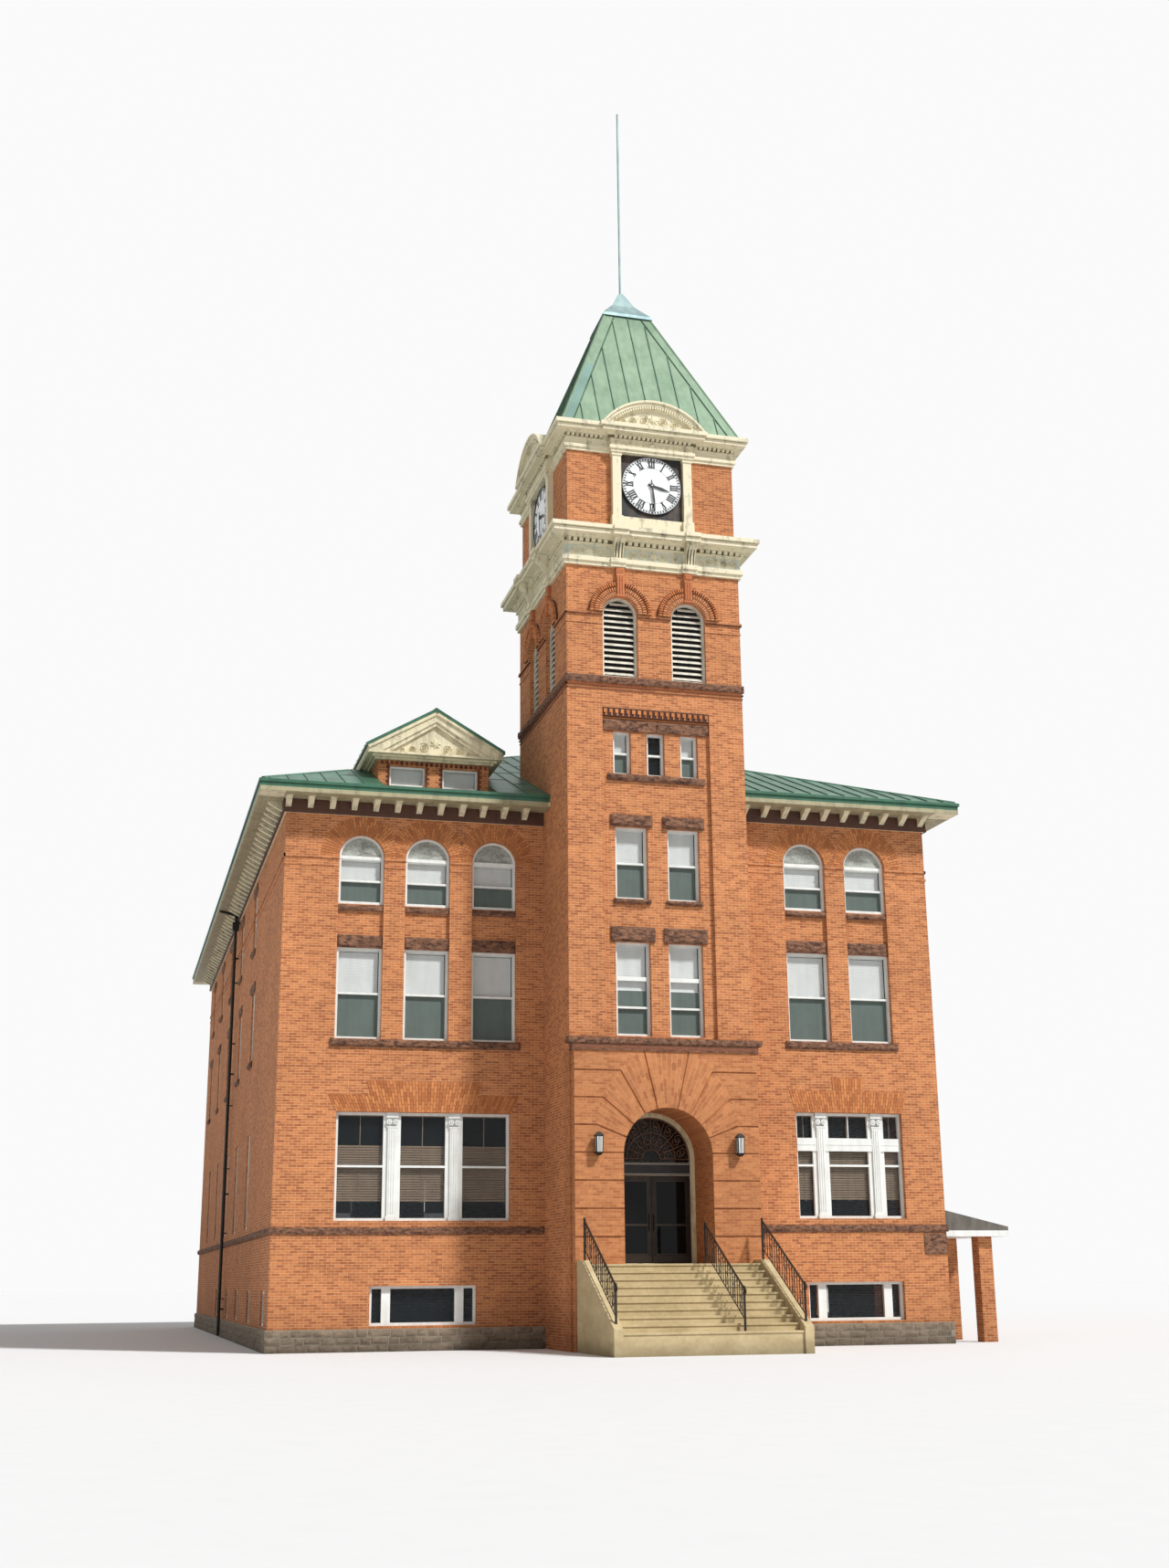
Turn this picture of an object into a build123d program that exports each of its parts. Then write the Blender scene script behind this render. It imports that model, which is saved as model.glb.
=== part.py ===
from build123d import *
import math
import os

# Brick opera house with a clock tower, at full size in millimetres.
# The origin is on the tower's axis at the lowest ground level. +X runs to the right along
# the street front, +Y into the building and +Z up.

# Plan
TOWER_WIDTH = 5000
TOWER_DEPTH = 5600
TOWER_WALL = 500
LEFT_REACH = 9600          # tower axis to the outer face of the left side wall
RIGHT_REACH = 8130
LEFT_SETBACK = 2690        # left wing's front behind the tower's front
RIGHT_SETBACK = 920
BUILDING_DEPTH = 33800     # tower front to the outer face of the rear wall
WALL = 450
SLAB = 220

# Levels, each storey built on the one below
FOUNDATION_TOP = 550
FOUNDATION_REACH = 60
BASEMENT_SLAB = 150
GROUND_FLOOR = 2060
GROUND_STOREY = 4890
SECOND_STOREY = 3750
THIRD_STOREY = 3200
SECOND_FLOOR = GROUND_FLOOR + GROUND_STOREY
THIRD_FLOOR = SECOND_FLOOR + SECOND_STOREY
ATTIC_FLOOR = THIRD_FLOOR + THIRD_STOREY
WATER_TABLE_BOTTOM = GROUND_FLOOR + 800
WATER_TABLE_TOP = WATER_TABLE_BOTTOM + 180
FRIEZE = 390
SOFFIT_BOARD = 110
EAVE_DEPTH = 190
BRICK_TOP = ATTIC_FLOOR - 40
SOFFIT = BRICK_TOP + FRIEZE
EAVE_BOTTOM = SOFFIT + SOFFIT_BOARD
EAVE_TOP = EAVE_BOTTOM + EAVE_DEPTH
BELT = 330                 # mouldings between the portal and the tower's brick
PORTAL_TOP = SECOND_FLOOR + 370
BELT_TOP = PORTAL_TOP + BELT
SHAFT = 3580               # attic floor to the belfry's sill
BELFRY_HEIGHT = 3180
LOWER_CORNICE = 1110
CLOCK_STAGE = 2360
UPPER_CORNICE = 820
TOWER_ROOF_RISE = 4800
CAP_RISE = 1200
ROD_LENGTH = 6460
BELFRY_SILL = ATTIC_FLOOR + SHAFT
TOWER_BRICK_TOP = BELFRY_SILL + BELFRY_HEIGHT
CLOCK_STAGE_BASE = TOWER_BRICK_TOP + LOWER_CORNICE
CLOCK_STAGE_TOP = CLOCK_STAGE_BASE + CLOCK_STAGE
TOWER_EAVE = CLOCK_STAGE_TOP + UPPER_CORNICE
TOWER_ROOF_TOP = TOWER_EAVE + TOWER_ROOF_RISE
CAP_TOP = TOWER_ROOF_TOP + CAP_RISE
ROD_TOP = CAP_TOP + ROD_LENGTH

# Wing roof
EAVE_REACH = 815
ROOF_SLOPE = 0.42          # rise per unit of run
ROOF_SHELL = 260
GUTTER_FACE = 45           # upright face of the gutter behind its rim

# Stone and brick relief
STONE_REACH = 60
SILL_REACH = 90
STRING_REACH = 45
RECESS = 110
SEAT = 0.3                 # clearance of a seated moving piece, mm

# Round heads are many-sided: 32 sides below this radius and 48 above
ROUND_LIMIT = 800

# Windows
FRAME_DEPTH = 90
FRAME_BAR = 70
SASH_BAR = 55
GLASS_THICKNESS = 12
FRAME_SET = 130            # outer wall face to the outer face of a frame
SIDE_FRAME_SET = 50

# Portal, door and steps
PORTAL_HALF = 2450
PORTAL_REACH = 300
PORTAL_DEPTH = 1350        # tower front to the back of the reveal
ARCH_RADIUS = 1180
ARCH_SPRING = GROUND_FLOOR + 2660
JOINT_PITCH = 683
JOINT_FIRST = GROUND_FLOOR + 660
JOINT_WIDTH = 40
JOINT_DEPTH = 30
DOOR_FRAME_BAR = 120
DOOR_FRAME_DEPTH = 160
DOOR_THICKNESS = 50
DOOR_TOP = GROUND_FLOOR + 2230
SIGN_BAND = 330
DOOR_SIDE_GAP = 16
DOOR_MEETING_GAP = 10
DOOR_FLOOR_GAP = 12
PIVOT_RADIUS = 12
PIVOT_INSET = 30
PIVOT_REACH = 30           # pivot beyond the leaf, across the gap into the frame
THRESHOLD = 30
STEP_COUNT = 10
STEP_RISE = 171
STEP_TREAD = 300
STEP_NOSE = 25
STEP_NOSE_HEIGHT = 45
STAIR_HALF = 2200
CHEEK = 220
CHEEK_ABOVE_NOSE = 90
RAIL_HEIGHT = 850
RAIL_WIDTH = 44
RAIL_THICKNESS = 24
BALUSTER = 16
BALUSTER_GAP = 160
NEWEL = 45
NEWEL_FOOT = 220           # newel below the nose line, set in the concrete
CENTRE_RAIL_X = 800

# Clock
CLOCK_HALF = 2440
CLOCK_HALF_DEPTH = 2740
CLOCK_CENTRE = CLOCK_STAGE_BASE + 1470
DIAL_RADIUS = 865
DIAL_THICKNESS = 40
SURROUND_HALF = 880
SURROUND_THICKNESS = 50
PILASTER_WIDTH = 250
PILASTER_REACH = 170
ARBOR_RADIUS = 22
HAND_THICKNESS = 14
HAND_GAP = 14
HAND_HUB = 62
MINUTE_LENGTH = 780
HOUR_LENGTH = 540
MINUTE_ANGLE = 174         # clockwise from twelve
HOUR_ANGLE = 104.5

# Cornices
LOWER_EDGE = 500           # reach beyond the tower wall
UPPER_EDGE = 400
ROOF_FOOT = 200            # roof edge inside the cornice edge
CONSOLE_WIDTH = 310
BAY_REACH = 110            # the upper cornice steps forward over the clock

FRONT = -TOWER_DEPTH / 2
TOWER_HALF = TOWER_WIDTH / 2
BACK = FRONT + BUILDING_DEPTH
LEFT_FRONT = FRONT + LEFT_SETBACK
RIGHT_FRONT = FRONT + RIGHT_SETBACK
TOWER_BACK = FRONT + TOWER_DEPTH

# Side entrance in the right wall
SIDE_DOOR_Y = RIGHT_FRONT + 1900
SIDE_DOOR_WIDTH = 1000
SIDE_DOOR_TOP = GROUND_FLOOR + 440

# Date stone at the right corner, under the water table
DATE_STONE_WIDTH = 650
DATE_STONE_HEIGHT = 550
DATE_STONE_DROP = 30


def block(x0, x1, y0, y1, z0, z1):
    """A box between its limits on the three axes."""
    centre = Pos((x0 + x1) / 2, (y0 + y1) / 2, (z0 + z1) / 2)
    return centre * Box(x1 - x0, y1 - y0, z1 - z0)


def frustum(half_x0, half_y0, z0, half_x1, half_y1, z1):
    """A four-sided pyramid cut off level: a wedge along each axis, and what they share."""
    length = 2 * max(half_x0, half_x1, half_y0, half_y1)
    across = make_face(Polyline((-half_x0, z0), (half_x0, z0), (half_x1, z1), (-half_x1, z1),
                                close=True))
    along = make_face(Polyline((-half_y0, z0), (half_y0, z0), (half_y1, z1), (-half_y1, z1),
                               close=True))
    return extrude(Plane.XZ * across, length, both=True) & extrude(
        Plane.YZ * along, length, both=True)


def round_prism(radius, length):
    """A round as a many-sided prism along z, with a corner at each quarter."""
    sides = 32 if radius < ROUND_LIMIT else 48
    return extrude(RegularPolygon(radius, sides), length / 2, both=True)


def joined(pieces):
    """The pieces as one body of solids."""
    first, *rest = pieces
    return first + rest if rest else first


def apart(pieces):
    """Solids that share a node and don't touch."""
    return Compound(children=[solid for piece in pieces for solid in piece.solids()])


def save(name, shape):
    """Write one sub-part under its own name."""
    solids = shape.solids()
    part = solids[0] if len(solids) == 1 else Compound(children=list(solids))
    part.label = name
    export_step(part, f"parts/{name}.step")


# Each wall is named by the axis it runs along, its outer face and the way in.
WALLS = {
    "front_left": ("x", LEFT_FRONT, 1),
    "front_right": ("x", RIGHT_FRONT, 1),
    "rear": ("x", BACK, -1),
    "left": ("y", -LEFT_REACH, 1),
    "right": ("y", RIGHT_REACH, -1),
    "tower_front": ("x", FRONT, 1),
    "tower_back": ("x", TOWER_BACK, -1),
    "tower_left": ("y", -TOWER_HALF, 1),
    "tower_right": ("y", TOWER_HALF, -1),
}


def on_wall(wall, u0, u1, d0, d1, z0, z1):
    """A box on a wall: u runs along it and d inward from its outer face."""
    run, face, inward = WALLS[wall]
    near, far = sorted((face + inward * d0, face + inward * d1))
    if run == "x":
        return block(u0, u1, near, far, z0, z1)
    return block(near, far, u0, u1, z0, z1)


def disc_on_wall(wall, u, z, radius, d0, d1):
    """A round disc lying in the plane of a wall."""
    run, face, inward = WALLS[wall]
    middle = face + inward * (d0 + d1) / 2
    if run == "x":
        return Pos(u, middle, z) * Rot(90, 0, 0) * round_prism(radius, abs(d1 - d0))
    return Pos(middle, u, z) * Rot(0, 90, 0) * round_prism(radius, abs(d1 - d0))


def arch_on_wall(wall, u, half, d0, d1, z0, spring):
    """A round-headed prism: straight sides up to the springing and a half circle above."""
    return on_wall(wall, u - half, u + half, d0, d1, z0, spring) + disc_on_wall(
        wall, u, spring, half, d0, d1)


# Windows: wall, centre along the wall, width, bottom, top or springing, kind
LEFT_BAYS = (-7530, -5730, -3890)
RIGHT_BAYS = (4490, 6290)
BAY_WIDTH = 1220
SIDE_WINDOW_WIDTH = 1000
SECOND_BOTTOM = SECOND_FLOOR + 890
SECOND_TOP = SECOND_BOTTOM + 2430
THIRD_BOTTOM = THIRD_FLOOR + 760
THIRD_SPRING = THIRD_BOTTOM + 1270
GROUND_BOTTOM = GROUND_FLOOR + 1140
GROUND_TOP = GROUND_BOTTOM + 2750
BASEMENT_BOTTOM = FOUNDATION_TOP + 70
BASEMENT_TOP = BASEMENT_BOTTOM + 970
LEFT_WIDE = (-5730, 4600)
RIGHT_WIDE = (5485, 3050)
LEFT_BASEMENT = (-5680, 2760)
RIGHT_BASEMENT = (5485, 2700)
LEFT_GROUND_Y = (10750, 15300, 19500, 24200, 28800)
LEFT_SECOND_Y = (11150, 16100, 21400, 26250, 31000)
LEFT_THIRD_Y = (11650, 16800, 21500, 26150, 31000)
SIDE_BASEMENT_Y = (4300, 8700, 13100, 17000, 21900)
REAR_X = (-7200, -3800, 200, 4200, 6400)
TOWER_PAIR = 725
TOWER_PAIR_WIDTH = 900
TOWER_SECOND_WIDTH = 950
TOWER_TRIPLE = 950
TOWER_TRIPLE_WIDTH = 500
TOWER_SECOND_BOTTOM = SECOND_BOTTOM - 90
TOWER_SECOND_TOP = TOWER_SECOND_BOTTOM + 2460
TOWER_TRANSOM = 1510       # sill to the middle of the transom bar
TOWER_THIRD_BOTTOM = THIRD_BOTTOM - 110
TOWER_THIRD_TOP = TOWER_THIRD_BOTTOM + 1970
TOWER_FOURTH_BOTTOM = ATTIC_FLOOR + 860
TOWER_FOURTH_TOP = TOWER_FOURTH_BOTTOM + 1220
BELFRY_OFFSET = 980
BELFRY_HALF = 500
BELFRY_CROWN_DROP = 840    # brick top down to the crown of the louvered arches
BELFRY_SPRING = TOWER_BRICK_TOP - BELFRY_CROWN_DROP - BELFRY_HALF


def front_windows(wall, bays, wide, basement):
    """The windows of one wing's street front, as rows of the table above."""
    rows = [(wall, u, BAY_WIDTH, THIRD_BOTTOM, THIRD_SPRING, "arched") for u in bays]
    rows += [(wall, u, BAY_WIDTH, SECOND_BOTTOM, SECOND_TOP, "sash") for u in bays]
    rows.append((wall, wide[0], wide[1], GROUND_BOTTOM, GROUND_TOP, "wide"))
    rows.append((wall, basement[0], basement[1], BASEMENT_BOTTOM, BASEMENT_TOP, "triple"))
    return rows


def side_windows(wall):
    """The tall narrow windows of a side wall, storey by storey."""
    levels = (
        (LEFT_GROUND_Y, GROUND_BOTTOM, GROUND_TOP, "sash"),
        (LEFT_SECOND_Y, SECOND_BOTTOM + 300, SECOND_TOP, "sash"),
        (LEFT_THIRD_Y, THIRD_BOTTOM + 200, THIRD_SPRING + 700, "sash"),
        (SIDE_BASEMENT_Y, BASEMENT_BOTTOM, BASEMENT_TOP - 100, "pane"),
    )
    rows = []
    for places, bottom, top, kind in levels:
        rows += [(wall, FRONT + y, SIDE_WINDOW_WIDTH, bottom, top, kind) for y in places]
    return rows


def rear_windows():
    """The rear wall repeats the side wall's storeys."""
    rows = []
    for bottom, top in ((GROUND_BOTTOM, GROUND_TOP), (SECOND_BOTTOM, SECOND_TOP),
                        (THIRD_BOTTOM, THIRD_SPRING + 600)):
        rows += [("rear", x, SIDE_WINDOW_WIDTH, bottom, top, "sash") for x in REAR_X]
    return rows


def tower_windows():
    """Pairs on the second and third storeys and three small ones on the fourth."""
    rows = []
    for side in (-1, 1):
        u = side * TOWER_PAIR
        rows.append(("tower_front", u, TOWER_SECOND_WIDTH, TOWER_SECOND_BOTTOM,
                     TOWER_SECOND_TOP, "transom"))
        rows.append(("tower_front", u, TOWER_PAIR_WIDTH, TOWER_THIRD_BOTTOM, TOWER_THIRD_TOP,
                     "sash"))
    for step in (-1, 0, 1):
        rows.append(("tower_front", step * TOWER_TRIPLE, TOWER_TRIPLE_WIDTH,
                     TOWER_FOURTH_BOTTOM, TOWER_FOURTH_TOP, "sash"))
    return rows


WING_WINDOWS = {
    "front_left": front_windows("front_left", LEFT_BAYS, LEFT_WIDE, LEFT_BASEMENT),
    "front_right": front_windows("front_right", RIGHT_BAYS, RIGHT_WIDE, RIGHT_BASEMENT),
    "left": side_windows("left"),
    "right": side_windows("right"),
    "rear": rear_windows(),
}
TOWER_ROWS = tower_windows()


def window_hole(row, depth):
    """The hole of one window, right through a wall."""
    wall, u, width, bottom, top, kind = row
    half = width / 2
    if kind == "arched":
        return arch_on_wall(wall, u, half, -RECESS, depth + RECESS, bottom, top)
    return on_wall(wall, u - half, u + half, -RECESS, depth + RECESS, bottom, top)


# Foundation, walls and floors of the wings
def foundation():
    """Rubble walls under the brick, with a step out, as one ring of masonry."""
    r = FOUNDATION_REACH
    left = -LEFT_REACH - r
    right = RIGHT_REACH + r
    back = BACK + r
    t = WALL + r
    z = (0, FOUNDATION_TOP)
    ring = [
        block(left, -TOWER_HALF, LEFT_FRONT - r, LEFT_FRONT - r + t, *z),
        block(TOWER_HALF, right, RIGHT_FRONT - r, RIGHT_FRONT - r + t, *z),
        block(left, left + t, LEFT_FRONT - r, back, *z),
        block(right - t, right, RIGHT_FRONT - r, back, *z),
        block(left, right, back - t, back, *z),
    ]
    return joined(ring)


def wing_wall(wall, u0, u1):
    """One brick wall of the wings with its windows and recessed bays cut."""
    slab = on_wall(wall, u0, u1, 0, WALL, FOUNDATION_TOP, SOFFIT)
    cuts = [window_hole(row, WALL) for row in WING_WINDOWS[wall]]
    if wall in ("front_left", "front_right"):
        for u in LEFT_BAYS if wall == "front_left" else RIGHT_BAYS:
            cuts.append(arch_on_wall(wall, u, BAY_WIDTH / 2, -RECESS, RECESS,
                                     SECOND_BOTTOM, THIRD_SPRING))
    if wall == "right":
        cuts.append(on_wall(wall, SIDE_DOOR_Y - SIDE_DOOR_WIDTH / 2,
                            SIDE_DOOR_Y + SIDE_DOOR_WIDTH / 2, -RECESS, WALL + RECESS,
                            FOUNDATION_TOP - 1, SIDE_DOOR_TOP))
    return slab - cuts


def floor_slab(top, thickness=SLAB, tower=True):
    """A floor between the walls. Inside the tower it fills the space between its walls."""
    z = (top - thickness, top)
    left = block(-LEFT_REACH + WALL, -TOWER_HALF, LEFT_FRONT + WALL, BACK - WALL, *z)
    right = block(TOWER_HALF, RIGHT_REACH - WALL, RIGHT_FRONT + WALL, BACK - WALL, *z)
    middle = block(-TOWER_HALF, TOWER_HALF, TOWER_BACK, BACK - WALL, *z)
    pieces = [left, middle, right]
    if tower:
        pieces.append(block(-TOWER_HALF + TOWER_WALL, TOWER_HALF - TOWER_WALL,
                            FRONT + PORTAL_DEPTH, TOWER_BACK, *z))
    return joined(pieces)


os.makedirs("parts", exist_ok=True)

save("foundation_walls", foundation())
save("basement_floor", floor_slab(BASEMENT_SLAB, BASEMENT_SLAB))
save("ground_floor", floor_slab(GROUND_FLOOR))
save("second_floor", floor_slab(SECOND_FLOOR))
save("third_floor", floor_slab(THIRD_FLOOR, tower=False))
save("attic_floor", floor_slab(ATTIC_FLOOR, tower=False))

save("front_wall_left", wing_wall("front_left", -LEFT_REACH, -TOWER_HALF))
save("front_wall_right", wing_wall("front_right", TOWER_HALF, RIGHT_REACH))
save("side_wall_left", wing_wall("left", LEFT_FRONT + WALL, BACK - WALL))
save("side_wall_right", wing_wall("right", RIGHT_FRONT + WALL, BACK - WALL))
save("rear_wall", wing_wall("rear", -LEFT_REACH, RIGHT_REACH))


# Tower walls
PANEL_HALF = 1515
PANEL_TOP = BELFRY_SILL - 1130
PANEL_DEPTH = 100
CORBEL_TOP = PANEL_TOP + 250
CORBEL_COUNT = 15


def belfry_arches_on(wall):
    """The pair of arched holes through one side of the belfry."""
    return [arch_on_wall(wall, side * BELFRY_OFFSET, BELFRY_HALF, -RECESS,
                         TOWER_WALL + RECESS, BELFRY_SILL, BELFRY_SPRING) for side in (-1, 1)]


BELFRY_SIDES = ("tower_front", "tower_back", "tower_left", "tower_right")


def tower_front_wall():
    """Front wall above the portal, with its tall recessed panel and corbelled head."""
    wall = on_wall("tower_front", -TOWER_HALF, TOWER_HALF, 0, TOWER_WALL, PORTAL_TOP,
                   TOWER_BRICK_TOP)
    cuts = [on_wall("tower_front", -PANEL_HALF, PANEL_HALF, -PANEL_DEPTH, PANEL_DEPTH,
                    BELT_TOP, PANEL_TOP)]
    pitch = 2 * PANEL_HALF / CORBEL_COUNT
    for i in range(CORBEL_COUNT):
        u = -PANEL_HALF + (i + 0.5) * pitch
        cuts.append(on_wall("tower_front", u - pitch / 4, u + pitch / 4, -PANEL_DEPTH,
                            PANEL_DEPTH, PANEL_TOP, CORBEL_TOP))
    cuts += [window_hole(row, TOWER_WALL) for row in TOWER_ROWS]
    cuts += belfry_arches_on("tower_front")
    return wall - cuts


def tower_side_wall(wall, bottom):
    """A side or rear wall of the tower with its pair of belfry arches. Below the second floor
    a side wall runs to the back of the tower and carries the rear wall."""
    if wall == "tower_back":
        slab = on_wall(wall, -TOWER_HALF, TOWER_HALF, 0, TOWER_WALL, bottom, TOWER_BRICK_TOP)
        return slab - belfry_arches_on(wall)
    slab = on_wall(wall, FRONT + TOWER_WALL, TOWER_BACK - TOWER_WALL, 0, TOWER_WALL, bottom,
                   TOWER_BRICK_TOP)
    foot = on_wall(wall, TOWER_BACK - TOWER_WALL, TOWER_BACK, 0, TOWER_WALL, bottom,
                   SECOND_FLOOR)
    return slab + foot - belfry_arches_on(wall)


RING_STEPS = ((130, 80), (260, 40))    # growth of each ring and its reach
RING_WIDTH = 130
KEYSTONE_HALF = 110
KEYSTONE_REACH = 110
# Strings of the belfry: bottom and top below the springing, and reach
STRINGS = ((80, 0, STRING_REACH), (340, 290, 20))


def arch_rings(wall):
    """Corbelled brick rings over one side's belfry arches, with keystones."""
    rings = []
    for side in (-1, 1):
        u = side * BELFRY_OFFSET
        for extra, reach in RING_STEPS:
            rings.append(disc_on_wall(wall, u, BELFRY_SPRING, BELFRY_HALF + extra + RING_WIDTH,
                                      -reach, 0))
        rings.append(on_wall(wall, u - KEYSTONE_HALF, u + KEYSTONE_HALF, -KEYSTONE_REACH, 0,
                             BELFRY_SPRING + BELFRY_HALF, TOWER_BRICK_TOP))
    cuts = [disc_on_wall(wall, side * BELFRY_OFFSET, BELFRY_SPRING, BELFRY_HALF,
                         -2 * RECESS, 0) for side in (-1, 1)]
    cuts.append(on_wall(wall, -TOWER_DEPTH, TOWER_DEPTH, -2 * RECESS, 0,
                        BELFRY_SPRING - 2 * BELFRY_HALF, BELFRY_SPRING))
    return joined(rings) - cuts


def tower_ring(reach_out, z0, z1):
    """A band around the tower, standing out from its walls."""
    outer = block(-TOWER_HALF - reach_out, TOWER_HALF + reach_out, FRONT - reach_out,
                  TOWER_BACK + reach_out, z0, z1)
    return outer - block(-TOWER_HALF, TOWER_HALF, FRONT, TOWER_BACK, z0, z1)


def belfry_strings():
    """Projecting courses at the springing, stopped at the arches."""
    bands = [tower_ring(reach, BELFRY_SPRING - low, BELFRY_SPRING - high)
             for low, high, reach in STRINGS]
    holes = [arch for wall in BELFRY_SIDES for arch in belfry_arches_on(wall)]
    return [joined(bands) - holes]


save("tower_front_wall", tower_front_wall())
save("tower_left_wall", tower_side_wall("tower_left", 0))
save("tower_right_wall", tower_side_wall("tower_right", 0))
save("tower_rear_wall", tower_side_wall("tower_back", SECOND_FLOOR))
save("belfry_arches", apart([joined([arch_rings(wall) for wall in BELFRY_SIDES] +
                                    belfry_strings())]))


# Portal: grooved brick jambs and a half-round arch of radiating brick
ARCH_TOP = PORTAL_TOP


def portal_prism(half, z0, z1):
    """Portal mass in plan: projecting front, tower wall and the reveal behind it."""
    inner = TOWER_HALF - TOWER_WALL
    return joined([
        block(-half, half, FRONT - PORTAL_REACH, FRONT, z0, z1),
        block(-TOWER_HALF, TOWER_HALF, FRONT, FRONT + TOWER_WALL, z0, z1),
        block(-inner, inner, FRONT + TOWER_WALL, FRONT + PORTAL_DEPTH, z0, z1),
    ])


# How far from the axis each radiating joint ends, on its level joint or at the top
VOUSSOIR_REACH = (1880, 1700, 1230, 600)


def joint_levels():
    """Heights of the level joints."""
    count = math.ceil((PORTAL_TOP - JOINT_FIRST) / JOINT_PITCH - 0.5)
    return [JOINT_FIRST + i * JOINT_PITCH for i in range(count)]


def voussoir_ends():
    """Ends of the radiating joints: level joints above the springing, then the top."""
    high = [level for level in joint_levels() if level > ARCH_SPRING + JOINT_PITCH]
    return list(zip(VOUSSOIR_REACH, high[:len(VOUSSOIR_REACH) - 1] + [PORTAL_TOP]))


def portal_joints():
    """Level channels: from the arch's edge up to its springing, from the voussoirs above."""
    front = FRONT - PORTAL_REACH
    starts = {level: reach for reach, level in voussoir_ends()}
    cuts = []
    for level in joint_levels():
        start = starts.get(level, 0)
        for side in (-1, 1):
            x0, x1 = sorted((side * start, side * TOWER_HALF))
            cuts.append(block(x0, x1, front - JOINT_DEPTH, front + JOINT_DEPTH,
                              level - JOINT_WIDTH / 2, level + JOINT_WIDTH / 2))
    return cuts


def voussoir_joints():
    """Radiating joints of the arch, cut as shallow channels from the intrados outward."""
    front = FRONT - PORTAL_REACH
    cuts = []
    for reach, level in voussoir_ends():
        angle = math.atan2(level - ARCH_SPRING, reach)
        end = math.hypot(reach, level - ARCH_SPRING)
        middle = (ARCH_RADIUS - JOINT_WIDTH + end) / 2
        channel = Box(end - ARCH_RADIUS + JOINT_WIDTH, 2 * JOINT_DEPTH, JOINT_WIDTH)
        z = ARCH_SPRING + middle * math.sin(angle)
        for side in (1, -1):
            x = side * middle * math.cos(angle)
            cuts.append(Pos(x, front, z) * Rot(0, -side * math.degrees(angle), 0) * channel)
    return cuts


def portal_jambs():
    """The two piers of the portal, from the ground to the springing."""
    mass = portal_prism(PORTAL_HALF, 0, ARCH_SPRING)
    way = block(-ARCH_RADIUS, ARCH_RADIUS, FRONT - PORTAL_REACH - RECESS,
                FRONT + PORTAL_DEPTH + RECESS, -RECESS, ARCH_SPRING + RECESS)
    return mass - way - portal_joints()


def portal_arch():
    """The arch over the entrance with its joints."""
    mass = portal_prism(PORTAL_HALF, ARCH_SPRING, ARCH_TOP)
    depth = PORTAL_REACH + PORTAL_DEPTH + 2 * RECESS
    tunnel = Pos(0, FRONT + (PORTAL_DEPTH - PORTAL_REACH) / 2, ARCH_SPRING) * Rot(
        90, 0, 0) * round_prism(ARCH_RADIUS, depth)
    return mass - tunnel - portal_joints() - voussoir_joints()


save("portal_jambs", portal_jambs())
save("portal_arch", portal_arch())


# Steps, cheek walls and railings
STAIR_RUN = (STEP_COUNT - 1) * STEP_TREAD
LANDING_FRONT = FRONT - PORTAL_REACH - 500
STAIR_FOOT = LANDING_FRONT - STAIR_RUN


def front_steps():
    """A flight of concrete steps with nosings, and the landing that runs in to the doors."""
    outline = [(STAIR_FOOT, 0)]
    z = GROUND_FLOOR - (STEP_COUNT - 1) * STEP_RISE
    y = STAIR_FOOT
    for _ in range(STEP_COUNT):
        outline += [(y, z - STEP_NOSE_HEIGHT), (y - STEP_NOSE, z - STEP_NOSE_HEIGHT),
                    (y - STEP_NOSE, z)]
        y += STEP_TREAD
        outline.append((y, z))
        z += STEP_RISE
    end = FRONT - PORTAL_REACH
    outline[-1] = (end, GROUND_FLOOR)
    outline.append((end, 0))
    flight = extrude(Plane.YZ * make_face(Polyline(*outline, close=True)), STAIR_HALF, both=True)
    landing = block(-ARCH_RADIUS, ARCH_RADIUS, end, FRONT + PORTAL_DEPTH, 0, GROUND_FLOOR)
    return flight + landing


def nose_line(y):
    """Height of the line through the step noses."""
    slope = STEP_RISE / STEP_TREAD
    first = GROUND_FLOOR - (STEP_COUNT - 1) * STEP_RISE
    return min(first + (y - STAIR_FOOT) * slope, GROUND_FLOOR)


def cheek_walls():
    """Sloping walls each side of the flight."""
    end = FRONT - PORTAL_REACH
    low = nose_line(STAIR_FOOT) + CHEEK_ABOVE_NOSE
    high = GROUND_FLOOR + CHEEK_ABOVE_NOSE
    outline = Polyline((STAIR_FOOT - 60, 0), (STAIR_FOOT - 60, low), (LANDING_FRONT, high),
                       (end, high), (end, 0), close=True)
    wall = extrude(Plane.YZ * make_face(outline), CHEEK)
    return apart([Pos(STAIR_HALF, 0, 0) * wall, Pos(-STAIR_HALF - CHEEK, 0, 0) * wall])


def sloped_bar(x, half, y0, y1, z0, slope, depth):
    """A flat bar up the slope, from its lower edge at the first end."""
    z1 = z0 + (y1 - y0) * slope
    side = make_face(Polyline((y0, z0), (y1, z1), (y1, z1 + depth), (y0, z0 + depth), close=True))
    return Pos(x, 0, 0) * extrude(Plane.YZ * side, half, both=True)


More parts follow.
